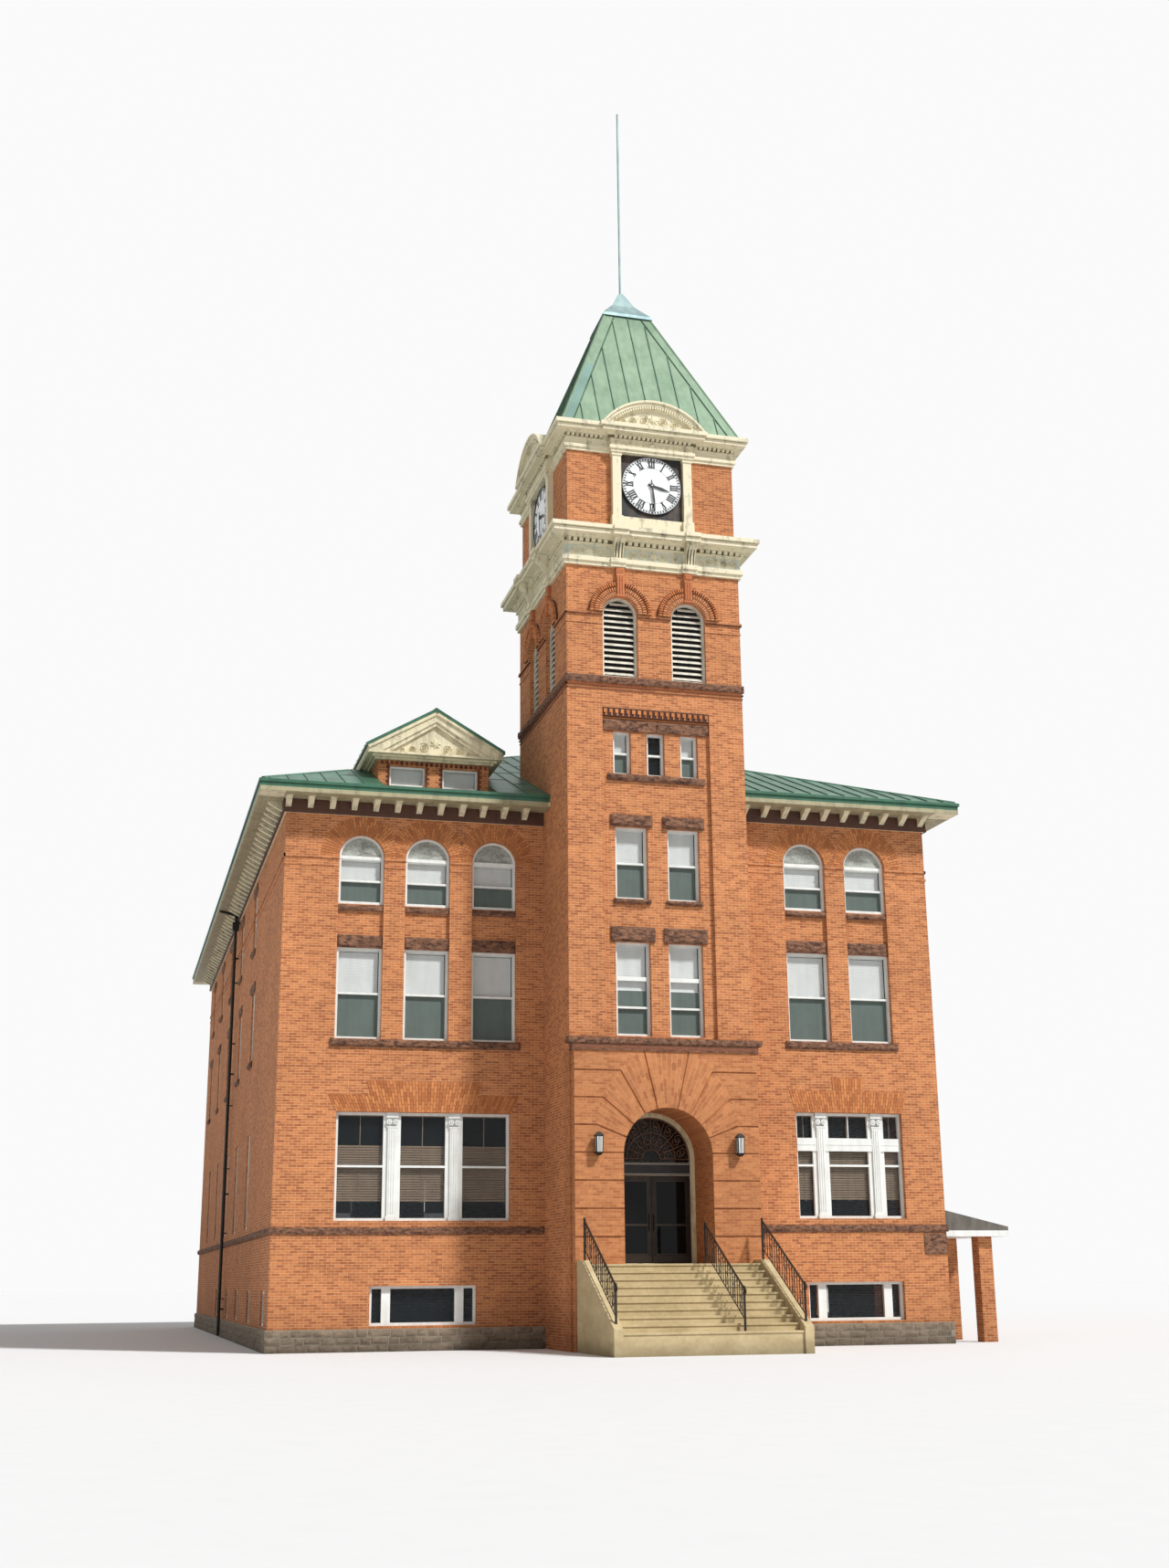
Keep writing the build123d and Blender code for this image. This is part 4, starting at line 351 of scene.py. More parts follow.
dress(painted("dark_bronze", "#221B16", "#4A3A2C", amount=0.4, roughness=0.35, metal=0.6),
      "door_left", "door_right", "side_door")
dress(painted("floor_boards", "#8C6B48", "#5A4330", amount=0.5, roughness=0.7),
      "ground_floor", "second_floor", "third_floor", "attic_floor")
dress(painted("black_panel_paint", "#141416", "#6A5138", amount=0.5, roughness=0.6),
      "clock_surrounds")
dress(painted("dial_enamel", "#EEF1F2", "#B9BDBB", amount=0.2, roughness=0.3), "clock_dials")
dress(painted("mineral_shingle", "#6A655E", "#3E3A36", amount=0.6, roughness=0.9), "porch_roof")


# Metal roofs. Painted steel pans with standing seams on the wings, and copper gone to pale
# verdigris on the tower: each pan has weathered to its own tone, with streaks down the slope.
def sheet_metal(name, light, dark, streak, roughness=0.5, metal=0.25):
    """Roof pans: noise stretched down the slope mixes a light and a dark tone of one patina."""
    made, tree, shader, place = finish(name)
    pans = noise(tree, place, 1.3, 3.0)
    rain = noise(tree, stretched(tree, place, streak, 0.5), 1.2, 6.0, 0.6)
    both = ranged(tree, arithmetic(tree, "ADD", pans, rain), 0.75, 1.25)
    fill(tree, shader, {"Base Color": tones(tree, both, dark, light), "Roughness": roughness,
                        "Metallic": metal, "Normal": pits(tree, rain, 0.3, 0.004)})
    return made


verdigris = dress(sheet_metal("verdigris_copper", "#7B9279", "#627D63", 5.0), "tower_roof")
green_pans = dress(sheet_metal("green_painted_steel", "#4C7862", "#2F5644", 3.0, roughness=0.42),
                   "main_roof", "dormer_roof")
dress(sheet_metal("weathered_zinc", "#93AAA8", "#6D8488", 4.0, roughness=0.45, metal=0.5),
      "roof_cap")


# Window glass. Old drawn glass with a slight wave, dark rooms behind it.
def glazing(name, colour, roughness, specular, alpha, scale, strength):
    """Glass: large soft noise bends its surface a little."""
    made, tree, shader, place = finish(name)
    wave = pits(tree, noise(tree, place, scale, 1.0), strength, 0.01)
    fill(tree, shader, {"Base Color": linear(colour), "Roughness": roughness, "Alpha": alpha,
                        "Specular IOR Level": specular, "Normal": wave})
    return made


dress(glazing("drawn_glass", "#3B464B", 0.04, 0.8, 0.12, 1.8, 0.15), "window_glass")


# Rock-faced stones. Brownstone lintels, sills, strings and the date stone, split by hand: each
# keeps a chiselled margin, and its face swells out from it in flat chips.
CHIP = 0.055
CHIP_RUNS = np.random.default_rng(7).normal(size=(6, 3)) * np.array(
    [3.0, 4.8, 7.2, 10.8, 15.6, 22.5])[:, None]
MARGIN = 0.045             # the chiselled margin's width
MOST_RELIEF = 0.12
# Each wall: the axis it runs along, where its face is, and which way is out
WALLS = {"front_left": (0, -0.11, -1), "front_right": (0, -1.88, -1), "rear": (0, 31.0, 1),
         "left": (1, -9.6, -1), "right": (1, 8.13, 1), "portal": (0, -3.1, -1),
         "tower_front": (0, -2.8, -1), "tower_back": (0, 2.8, 1),
         "tower_left": (1, -2.5, -1), "tower_right": (1, 2.5, 1),
         "dormer": (0, 0.3, -1), "doorway": (0, -1.61, -1), "rail_left": (1, -2.31, -1),
         "rail_centre": (1, 0.8, 1), "spout": (0, 15.435, -1), "porch": (0, -1.48, -1),
         "porch_end": (1, 10.178, 1), "rail_right": (1, 2.31, 1),
         "clock_front": (0, -2.74, -1), "clock_rear": (0, 2.74, 1),
         "clock_left": (1, -2.44, -1), "clock_right": (1, 2.44, 1)}
# Half the width of each wall of the tower
TOWER_SIDES = {"tower_front": 2.5, "tower_back": 2.5, "tower_left": 2.8, "tower_right": 2.8}


def rough(points):
    """Faceted noise in -1 to 1: triangle waves along six fixed directions, finer ones weaker."""
    phase = np.asarray(points) @ CHIP_RUNS.T / (2 * math.pi) + np.arange(6) * 0.37
    waves = 4 * np.abs(phase - np.floor(phase) - 0.5) - 1
    return waves @ np.array([0.34, 0.24, 0.16, 0.12, 0.08, 0.06])


def placed(wall, u, out, z):
    """Points on a wall, from the distance along it, out from its face, and the height."""
    axis, face, sign = WALLS[wall]
    u, out, z = np.broadcast_arrays(np.asarray(u, float), out, z)
    depth = face + sign * out
    return np.stack([u, depth, z] if axis == 0 else [depth, u, z], -1)


def hexes(corners):
    """Six-sided blocks from eight corners each, the last axis first; inside-out ones are
    turned by the sign of their first three edges' product."""
    corners = np.asarray(corners, float).reshape(-1, 8, 3)
    quads = np.array([[0, 1, 3, 2], [4, 6, 7, 5], [0, 4, 5, 1], [2, 3, 7, 6], [0, 2, 6, 4],
                      [1, 5, 7, 3]])
    faces = quads[None] + 8 * np.arange(len(corners))[:, None, None]
    edges = corners[:, [4, 2, 1]] - corners[:, :1]
    wrong = np.einsum("ij,ij->i", np.cross(edges[:, 0], edges[:, 1]), edges[:, 2]) < 0
    faces[wrong] = faces[wrong][:, :, ::-1]
    return corners.reshape(-1, 3), [faces.reshape(-1, 4)]


def wall_boxes(wall, u0, u1, out0, out1, z0, z1):
    """Blocks on a wall between their limits, which may be arrays."""
    rows = np.broadcast_arrays(*[np.asarray(v, float) for v in (u0, u1, out0, out1, z0, z1)])
    u0, u1, out0, out1, z0, z1 = [row.ravel() for row in rows]
    corners = [placed(wall, u, out, z) for u in (u0, u1) for out in (out0, out1)
               for z in (z0, z1)]
    return hexes(np.stack(corners, 1))


def solids_of(node):
    """Low and high corners of each solid in a piece: labels spread along edges till settled."""
    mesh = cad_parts[node].data
    points = np.empty(len(mesh.vertices) * 3)
    mesh.vertices.foreach_get("co", points)
    edges = np.empty(len(mesh.edges) * 2, int)
    mesh.edges.foreach_get("vertices", edges)
    points = points.reshape(-1, 3)
    edges = edges.reshape(-1, 2)
    labels = np.unique(np.round(points, 5), axis=0, return_inverse=True)[1].ravel()
    while True:
        lowest = labels.copy()
        np.minimum.at(lowest, edges[:, 0], labels[edges[:, 1]])
        np.minimum.at(lowest, edges[:, 1], labels[edges[:, 0]])
        merged = np.full(labels.max() + 1, labels.max() + 1)
        np.minimum.at(merged, labels, lowest)
        lowest = merged[labels]
        if (lowest == labels).all():
            break
        labels = lowest
    return [(points[labels == k].min(0), points[labels == k].max(0)) for k in np.unique(labels)]


def outward(points, faces):
    """A closed surface with its faces turned out: six times its volume, summed over fans of
    triangles, must be positive."""
    points = np.asarray(points, float).reshape(-1, 3)
    volume = 0.0
    for group in faces:
        fan = points[group] - points.mean(0)
        for i in range(1, fan.shape[1] - 1):
            volume += np.einsum("ij,ij->", fan[:, 0], np.cross(fan[:, i], fan[:, i + 1]))
    return points, faces if volume > 0 else [group[:, ::-1] for group in faces]


def quads_of(index):
    """The faces between neighbours in a grid of point numbers."""
    return np.stack([index[:-1, :-1], index[1:, :-1], index[1:, 1:], index[:-1, 1:]],
                    -1).reshape(-1, 4)


def rock(wall, u0, u1, z0, z1, back, front, swell=0.6):
    """A hand-split block: a grid over its face that swells from a chiselled margin as the edge
    distance grows, with lumps of faceted noise; the rim is joined to a flat back."""
    nu, nz = [max(3, int(round(span / CHIP))) for span in (u1 - u0, z1 - z0)]
    s, t = np.meshgrid(np.linspace(0, 1, nu + 1), np.linspace(0, 1, nz + 1), indexing="ij")
    u = u0 + (u1 - u0) * s
    z = z0 + (z1 - z0) * t
    edge = np.minimum(np.minimum(s, 1 - s) * (u1 - u0), np.minimum(t, 1 - t) * (z1 - z0))
    rise = np.minimum(edge / MARGIN, 1.0)
    lumps = np.clip(1.9 * rough(placed(wall, u, 0.0, z)), -1, 1)
    relief = swell * min(front - back, MOST_RELIEF)
    points = placed(wall, u, front - relief * (1 - rise * (0.54 + 0.46 * lumps)), z)
    index = np.arange((nu + 1) * (nz + 1)).reshape(nu + 1, nz + 1)
    rim = np.concatenate([index[:-1, 0], index[-1, :-1], index[:0:-1, -1], index[0, :0:-1]])
    behind = points.reshape(-1, 3)[rim].copy()
    axis, face, sign = WALLS[wall]
    behind[:, 1 - axis] = face + sign * back
    far = np.arange(len(rim)) + index.size
    sides = np.stack([rim, far, np.roll(far, -1), np.roll(rim, -1)], -1)
    return outward(np.concatenate([points.reshape(-1, 3), behind]),
                   [quads_of(index), sides, far[::-1][None]])


def stone_row(wall, u0, u1, count, z0, z1, back, front, swell=0.6, joint=0.003):
    """Equal hand-split blocks laid end to end, with half a joint off each end."""
    cuts = np.linspace(u0, u1, count + 1)
    return [rock(wall, a + joint, b - joint, z0, z1, back, front, swell)
            for a, b in zip(cuts[:-1], cuts[1:])]


def wall_of(low, high):
    """The wall that a thin solid belongs to, its limits along it, and its depths there: the
    face nearest its front among those it lies along."""
    thin = int(np.argmin((high - low)[:2]))
    found = []
    for wall, (axis, face, sign) in WALLS.items():
        outs = sorted((sign * (low[thin] - face), sign * (high[thin] - face)))
        if axis != thin and outs[0] > -0.5 and outs[1] < 0.15:
            found.append((abs(outs[1]), wall, low[axis], high[axis], *outs))
    return min(found)[1:] if found else None


def wing_walls(reach, tower=2.5):
    """The walls of the wings, with their ends a reach past the corners; the front ones stop at
    the tower."""
    ends = {wall: face + sign * reach for wall, (_, face, sign) in WALLS.items()}
    return (("front_left", ends["left"], -tower), ("front_right", tower, ends["right"]),
            ("left", ends["front_left"], ends["rear"]),
            ("right", ends["front_right"], ends["rear"]), ("rear", ends["left"], ends["right"]))


LINTEL_LENGTH = 1.6        # the longest stone of a string, about
TABLE_LENGTH = 1.15
TABLE_SHELF = 0.06         # how far the water table's end stones pass a corner
stones = []
for low, high in solids_of("stone_trim"):
    found = wall_of(low, high)
    if found is None or found[0] == "portal":
        continue
    wall, u0, u1, back, front = found
    proud, swell = (0.004, 0.12) if high[2] - low[2] > 0.5 else (0.014, 0.6)
    stones += stone_row(wall, u0, u1, max(1, int(round((u1 - u0) / LINTEL_LENGTH))), low[2],
                        high[2], back, front + proud, swell)
for wall, u0, u1 in wing_walls(TABLE_SHELF):
    stones += stone_row(wall, u0, u1, max(2, int(round((u1 - u0) / TABLE_LENGTH))), 2.86, 3.04,
                        0.0, 0.085)
for wall, half in TOWER_SIDES.items():
    stones += stone_row(wall, -half - 0.06, half + 0.06, 4, 17.28, 17.48, 0.0, 0.075)
# The portal's belt: a capstone course over a plain terracotta band between two fillets
stones += stone_row("portal", -2.61, 2.61, 5, 7.505, 7.65, -0.30, 0.07, 0.14, joint=0.002)
for front, z0, z1 in ((0.04, 7.32, 7.35), (0.035, 7.475, 7.505)):
    stones.append(wall_boxes("portal", -2.52, 2.52, -0.3, front, z0, z1))
trim = new_piece("rock_faced_trim", stones, brownstone)
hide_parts("stone_trim", "water_table")
belt = quarried("terracotta_band", "#8E5A40", "#5E3A2A", 0.12, 0.004)
new_piece("portal_belt_band", [wall_boxes("portal", -2.5, 2.5, -0.3, 0.016, 7.35, 7.475)], belt)


# Rubble foundation stones. Fieldstones in three uneven rows, each hammered roughly square,
# bedded proud of wide lime joints.
RUBBLE_LEVELS = (0.0, 0.19, 0.36, 0.545)
RUBBLE_JOINT = 0.012       # half of it
stones = []
heap = np.random.default_rng(11)
for wall, u0, u1 in wing_walls(TABLE_SHELF):
    for z0, z1 in zip(RUBBLE_LEVELS[:-1], RUBBLE_LEVELS[1:]):
        a = u0
        while a < u1 - 0.12:
            b = min(a + heap.uniform(0.24, 0.62), u1)
            foot = z0 + RUBBLE_JOINT + heap.uniform(-0.012, 0.012) if z0 > 0 else 0.0
            stones.append(rock(wall, a + RUBBLE_JOINT, b - RUBBLE_JOINT, foot, z1 - RUBBLE_JOINT,
                               0.055, 0.055 + heap.uniform(0.025, 0.045)))
            a = b
new_piece("foundation_stones", stones, rubble)


# Brick heads over the openings. Rubbed bricks stand on end round the arches of the third
# storey, meeting in a V over the piers, and fan out flat over the wide ground-storey windows.
BRICK_SPLITS = ((0.0, 0.205, 0.41, 0.615, 0.95), (0.0, 0.10, 0.305, 0.51, 0.715, 0.95))
ARCHED_BAYS = {"front_left": (-7.53, -5.73, -3.89), "front_right": (4.49, 6.29)}
ARCH_SPRING = 12.73
ARCH_RADIUS = 0.61
HEAD_DEPTH = 0.50
HEAD_JOINT = 0.011
FAN_BASE = 5.95
LEAST_PIECE = 0.03         # a shorter scrap of brick is left out


def wedges(wall, u, z, inner, outer, a0, a1, back, front, bevel=0.0):
    """Blocks between two radii and two angles about a centre on a wall; all may be arrays. The
    front face is smaller by the bevel on each side."""
    rows = np.broadcast_arrays(*[np.asarray(v, float)
                                 for v in (u, z, inner, outer, a0, a1, back, front)])
    u, z, inner, outer, a0, a1, back, front = [row.ravel() for row in rows]
    corners = []
    for r, inward in ((inner, 1), (outer, -1)):
        for out, cut in ((back, 0.0), (front, bevel)):
            for a, turn in ((a0, 1), (a1, -1)):
                radius = r + inward * cut
                angle = a + turn * cut / radius
                corners.append(placed(wall, u + radius * np.cos(angle), out,
                                      z + radius * np.sin(angle)))
    return hexes(np.stack(corners, 1))


def fan(wall, centre, half, drop, count, raised, heights):
    """Bricks of a flat arch: each stands between two lines that meet a drop below its foot, in
    staggered lengths up to the lower height, or the higher one over its middle."""
    feet = np.linspace(centre - half, centre + half, count + 1)
    made, beds = [], []
    for number, (low, high) in enumerate(zip(feet[:-1], feet[1:])):
        top = heights[int(abs((low + high) / 2 - centre) < raised)]
        for target, splits, gap, front in ((made, BRICK_SPLITS[number % 2], HEAD_JOINT / 2, 0.010),
                                           (beds, (0.0, 0.95), 0.0, 0.003)):
            for a, b in zip(splits[:-1], splits[1:]):
                z0, z1 = FAN_BASE + a + gap, min(FAN_BASE + b, top) - gap
                if z1 - z0 < LEAST_PIECE:
                    continue
                corners = [placed(wall, centre + (foot - centre) * (1 + (z - FAN_BASE) / drop)
                                  + side * gap, out, z)
                           for foot, side in ((low, 1), (high, -1)) for out in (-0.02, front)
                           for z in (z0, z1)]
                target.append(hexes(np.stack(corners)))
    return made, beds


def fired(name, light, dark):
    """Single bricks: each block, as an island of its mesh, takes its own tone between light and
    dark, and fine grain pits its face."""
    made, tree, shader, place = finish(name)
    tone = add(tree, "ShaderNodeNewGeometry").outputs["Random Per Island"]
    grain = noise(tree, place, 30.0, 4.0)
    kiln = ranged(tree, arithmetic(tree, "MULTIPLY_ADD", grain, 0.5, tone), 0.1, 1.3)
    fill(tree, shader, {"Base Color": tones(tree, kiln, dark, light), "Roughness": 0.86,
                        "Specular IOR Level": 0.25, "Normal": pits(tree, grain, 0.5, 0.004)})
    return made


rubbed = fired("rubbed_brick", "#CC8652", "#9E5C36")
# The joints of the brick heads and of the belfry rings are darker than the walls' mortar: painted
# shade in the joints.
shade_pointing = quarried("painted_shade_pointing", "#9A6C4E", "#6E4933", 0.03, 0.002)
heads, beds = [], []
edges = np.linspace(0, math.pi, 40)
lean = np.cos((edges[1:] + edges[:-1]) / 2)
joint = HEAD_JOINT / 2 / 0.8       # as an angle, at the middle of the bricks' length
for (wall, bays), ends in zip(ARCHED_BAYS.items(), ((1.4, 1.37), (1.6, 1.4))):
    for number, u in enumerate(bays):
        left = (u - bays[number - 1]) / 2 if number else ends[0]
        right = (bays[number + 1] - u) / 2 if number + 1 < len(bays) else ends[1]
        limit = np.where(lean > 0, right, left) - 0.006
        outer = np.minimum(ARCH_RADIUS + HEAD_DEPTH, limit / np.maximum(np.abs(lean), 0.01))
        beds.append(wedges(wall, u, ARCH_SPRING, ARCH_RADIUS, outer, edges[:-1], edges[1:],
                           -0.02, 0.003))
        for phase, splits in enumerate(BRICK_SPLITS):
            a0, a1, far = edges[:-1][phase::2], edges[1:][phase::2], outer[phase::2]
            for near, next_one in zip(splits[:-1], splits[1:]):
                inner = ARCH_RADIUS + near + HEAD_JOINT / 2
                reach = np.minimum(ARCH_RADIUS + next_one - HEAD_JOINT / 2, far)
                kept = reach - inner > LEAST_PIECE
                heads.append(wedges(wall, u, ARCH_SPRING, inner, reach[kept], a0[kept] + joint,
                                    a1[kept] - joint, -0.02, 0.010, bevel=0.002))
for wall, centre, half, drop, raised, heights in (
        ("front_left", -5.73, 2.30, 4.23, 1.30, (6.41, 6.77)),
        ("front_right", 5.485, 1.525, 5.24, 0.38, (6.52, 6.88))):
    made, under = fan(wall, centre, half, drop, int(round(2 * half / 0.0715)), raised, heights)
    heads += made
    beds += under
new_piece("brick_heads", heads, rubbed)
new_piece("brick_head_joints", beds, shade_pointing)

# Projecting brick courses at the springing of the arches, stopped at the openings.
IMPOSTS = ((12.655, 12.73, 0.030), (12.44, 12.50, 0.018))
SIDE_BAYS = ((7.95, 12.5, 16.7, 21.4, 26.0), (8.35, 13.3, 18.6, 23.45, 28.2),
             (8.85, 14.0, 18.7, 23.35, 28.2))


def spans(low, high, holes):
    """The stretches from low to high that are left between the holes."""
    edges = [low] + [edge for centre, width in sorted(holes)
                     for edge in (centre - width / 2, centre + width / 2)] + [high]
    return [(a, b) for a, b in zip(edges[::2], edges[1::2]) if b - a > 0.05]


courses = []
for wall, u0, u1, centres, width in (
        ("front_left", -9.63, -2.5, ARCHED_BAYS["front_left"], 1.22),
        ("front_right", 2.5, 8.16, ARCHED_BAYS["front_right"], 1.22),
        ("left", -0.14, 31.0, SIDE_BAYS[2], 1.0), ("right", -1.91, 31.0, SIDE_BAYS[2], 1.0)):
    for a, b in spans(u0, u1, [(u, width) for u in centres]):
        courses += [wall_boxes(wall, a, b, -0.02, reach, z0, z1) for z0, z1, reach in IMPOSTS]
new_piece("impost_courses", courses, wall_brick)


# Belfry arches. Header bricks with rounded noses stand in three steps round each pair of
# openings; the keystones are fluted terracotta under a rough block.
BELFRY_PAIR = (-0.98, 0.98)
BELFRY_SPRING = 19.32
HEADER = 0.0686            # a header's width with its joint


def ring(wall, u, z, inner, outer, back, front, count=24, sweep=math.pi, bevel=0.0):
    """A flat ring, or half of one, as blocks end to end round a centre on a wall."""
    turns = np.linspace(0, sweep, count + 1)
    return wedges(wall, u, z, inner, outer, turns[:-1], turns[1:], back, front, bevel)


headers, keys, beds, rims = [], [], [], []
for wall in TOWER_SIDES:
    for u in BELFRY_PAIR:
        for inner, outer, back, front in ((0.503, 0.625, 0.02, 0.090), (0.633, 0.757, 0.02, 0.104),
                                          (0.768, 0.888, 0.0, 0.140)):
            count = int(round(math.pi * (inner + outer) / 2 / HEADER))
            edges = np.linspace(0, math.pi, count + 1)
            middle = (edges[1:] + edges[:-1]) / 2
            free = np.abs(np.cos(middle)) * outer > 0.135
            joint = (0.006 if outer < 0.8 else 0.012) / outer
            headers.append(wedges(wall, u, BELFRY_SPRING, inner, outer, edges[:-1][free] + joint,
                                  edges[1:][free] - joint, back, front, bevel=0.012))
        rims.append(ring(wall, u, BELFRY_SPRING, 0.503, 0.76, 0.0, 0.083, count=36))
        beds.append(ring(wall, u, BELFRY_SPRING, 0.764, 0.895, 0.0, 0.046, count=36))
        for flute in (-0.072, 0.0, 0.072):
            keys.append(wall_boxes(wall, u + flute - 0.022, u + flute + 0.022, 0.09, 0.128,
                                   19.86, 20.40))
        keys += [wall_boxes(wall, u - 0.122, u + 0.122, 0.0, 0.120, 19.80, 19.85),
                 rock(wall, u - 0.13, u + 0.13, 20.42, 20.655, 0.0, 0.15)]
terracotta = fired("terracotta", "#C57A50", "#A5613E")
belfry_brick = fired("belfry_brick", "#DA9462", "#B26E46")
# The near-black beds behind the outer header rings are painted shade in the joints and round the
# rings.
painted_shade_joint = quarried("painted_shade_joint", "#5A3325", "#331C15", 0.05, 0.002)
new_piece("belfry_headers", headers, belfry_brick)
new_piece("belfry_header_beds", beds, painted_shade_joint)
new_piece("belfry_ring_joints", rims, shade_pointing)
new_piece("belfry_keystones", keys, terracotta)


# Carved and moulded work of the cornices: dentil rows, relief in the friezes and the sunk
# fields of the pediments, all pressed and carved under the same cream paint.
CLOCK_SIDES = {"clock_front": 2.44, "clock_rear": 2.44, "clock_left": 2.74, "clock_right": 2.74}
CONSOLES = (-1.04, 1.04)
PEDIMENT_CENTRE = 23.846   # of the arcs over each dial
PEDIMENT_EDGE = 1.56       # where the sunk field ends


def scrolls(u, z, curls, flower):
    """Foliage height in 0 to 1: each curl is a ridge where 1.5 log(distance) plus the angle over
    a full turn is a whole number and a half; a flower has seven lobes."""
    height = np.zeros(np.broadcast(u, z).shape)
    for cu, cz, size, turn in curls:
        r = np.maximum(np.hypot(u - cu, z - cz) / size, 1e-3)
        angle = np.arctan2(z - cz, u - cu) * turn
        phase = (np.log(r) * 1.5 + angle / (2 * math.pi)) % 1
        ridge = np.exp(-((phase - 0.5) / 0.17) ** 2) * np.clip((1 - r) * 6, 0, 1)
        height = np.maximum(height, ridge * (0.75 + 0.25 * np.cos(7 * angle + 9 * r)))
    cu, cz, size = flower
    r = np.hypot(u - cu, z - cz) / size
    lobes = 0.8 + 0.2 * np.cos(7 * np.arctan2(z - cz, u - cu))
    return np.maximum(height, np.clip(1.15 - (r / lobes) ** 2, 0, 1))


def blocks(wall, u, *rows):
    """Blocks about places u on a wall, from rows of half a width, two limits outwards and two
    levels."""
    half, out0, out1, z0, z1 = np.transpose(rows)
    return wall_boxes(wall, u - half, u + half, out0, out1, z0, z1)


def mirrored(curls, middle=0.0):
    """Curls on both sides of a middle line."""
    return [(middle + side * cu, cz, size, side * turn) for cu, cz, size, turn in curls
            for side in (1, -1)]


def relief(wall, u0, u1, z0, z1, out, depth, curls, flower, fade=None, step=0.012):
    """Foliage raised on a wall, where a fade is above 0 if one is given; where it is flat it
    lies 2 mm behind the face and is left out."""
    u, z = np.meshgrid(np.linspace(u0, u1, int((u1 - u0) / step) + 2),
                       np.linspace(z0, z1, int((z1 - z0) / step) + 2), indexing="ij")
    h = scrolls(u, z, curls, flower)
    if fade:
        h = h * np.clip(fade(u, z), 0, 1)
    points = placed(wall, u, out - 0.002 + depth * h, z)
    quads = quads_of(np.arange(u.size).reshape(u.shape))
    quads = quads[h.ravel()[quads].max(1) > 0.01]
    axis, _, sign = WALLS[wall]
    if (axis == 0) != (sign < 0):
        quads = quads[:, ::-1]
    used, fresh = np.unique(quads, return_inverse=True)
    return points.reshape(-1, 3)[used], [fresh.reshape(-1, 4)]


def prisms(starts, ends, section, up=(0, 0, 1)):
    """Straight bars from starts to ends. The section's points are (side, lift), anticlockwise
    seen from the start, with side = run x up and lift = side x run."""
    starts = np.asarray(starts, float).reshape(-1, 3)
    ends = np.asarray(ends, float).reshape(-1, 3)
    section = np.asarray(section, float)
    run = (ends - starts) / np.linalg.norm(ends - starts, axis=1, keepdims=True)
    side = np.cross(run, np.broadcast_to(np.asarray(up, float), run.shape))
    side /= np.linalg.norm(side, axis=1, keepdims=True)
    lift = np.cross(side, run)
    offset = section[:, 0, None] * side[:, None] + section[:, 1, None] * lift[:, None]
    points = np.stack([starts[:, None] + offset, ends[:, None] + offset], 1)
    k = len(section)
    i = np.arange(k)
    j = (i + 1) % k
    base = 2 * k * np.arange(len(starts))[:, None]
    sides = (base[..., None] + np.stack([j, i, i + k, j + k], -1)).reshape(-1, 4)
    return points.reshape(-1, 3), [sides, base + i, base + (i + k)[::-1]]


def bar(width, height):
    """A flat bar's section, lying on its run."""
    return ((-width / 2, 0), (width / 2, 0), (width / 2, height), (-width / 2, height))


def rail(wall, u0, u1, profile, z=0.0, out=0.0):
    """A moulding along a wall from u0 to u1 (arrays allowed); profile is (out, height)."""
    axis, _, sign = WALLS[wall]
    u0, u1 = np.broadcast_arrays(np.asarray(u0, float), np.asarray(u1, float))
    if (axis == 0) == (sign > 0):
        u0, u1 = u1, u0
    return prisms(placed(wall, u0, out, z), placed(wall, u1, out, z), profile)


def paired(reach, step):
    """Places at equal steps to both sides of the middle."""
    u = np.arange(0.0, reach, step)
    return np.unique(np.concatenate([-u, u]))


dentils, carved, gaps, fields = [], [], [], []
for wall, half in TOWER_SIDES.items():
    u = paired(half + 0.02, 0.175)
    u = u[np.abs(np.abs(u) - CONSOLES[1]) > 0.22]
    dentils.append(blocks(wall, u, (0.052, 0.05, 0.17, 21.325, 21.415)))
    gaps.append(blocks(wall, 0.0, (half + 0.06, 0.05, 0.074, 21.314, 21.42)))
    edges = np.array([-half - 0.048, -1.22, -0.86, 0.86, 1.22, half + 0.048])
    fields.append(wall_boxes(wall, edges[::2], edges[1::2], 0.04, 0.0515, 20.93, 21.235))
    for middle, width in ((0.0, 0.80), (-(half + 1.2) / 2, half / 2 - 0.66),
                          ((half + 1.2) / 2, half / 2 - 0.66)):
        curls = mirrored([(width * 0.36, 21.085, 0.15, 1), (width * 0.74, 21.07, 0.15, -1)],
                         middle)
        carved.append(relief(wall, middle - width, middle + width, 20.93, 21.24, 0.05, 0.045,
                             curls, (middle, 21.085, 0.13)))
leaves = mirrored([(0.22, 24.425, 0.115, 1), (0.44, 24.415, 0.11, -1), (0.66, 24.425, 0.11, 1),
                   (0.88, 24.415, 0.11, -1), (1.07, 24.42, 0.09, 1)])
field = mirrored([(0.27, 25.10, 0.20, 1), (0.62, 25.05, 0.16, -1), (0.90, 24.99, 0.11, 1)])
edge = math.acos(1.1 / 1.62)
edges = np.linspace(edge, math.pi - edge, 34)
width = 0.30 * (edges[1] - edges[0])
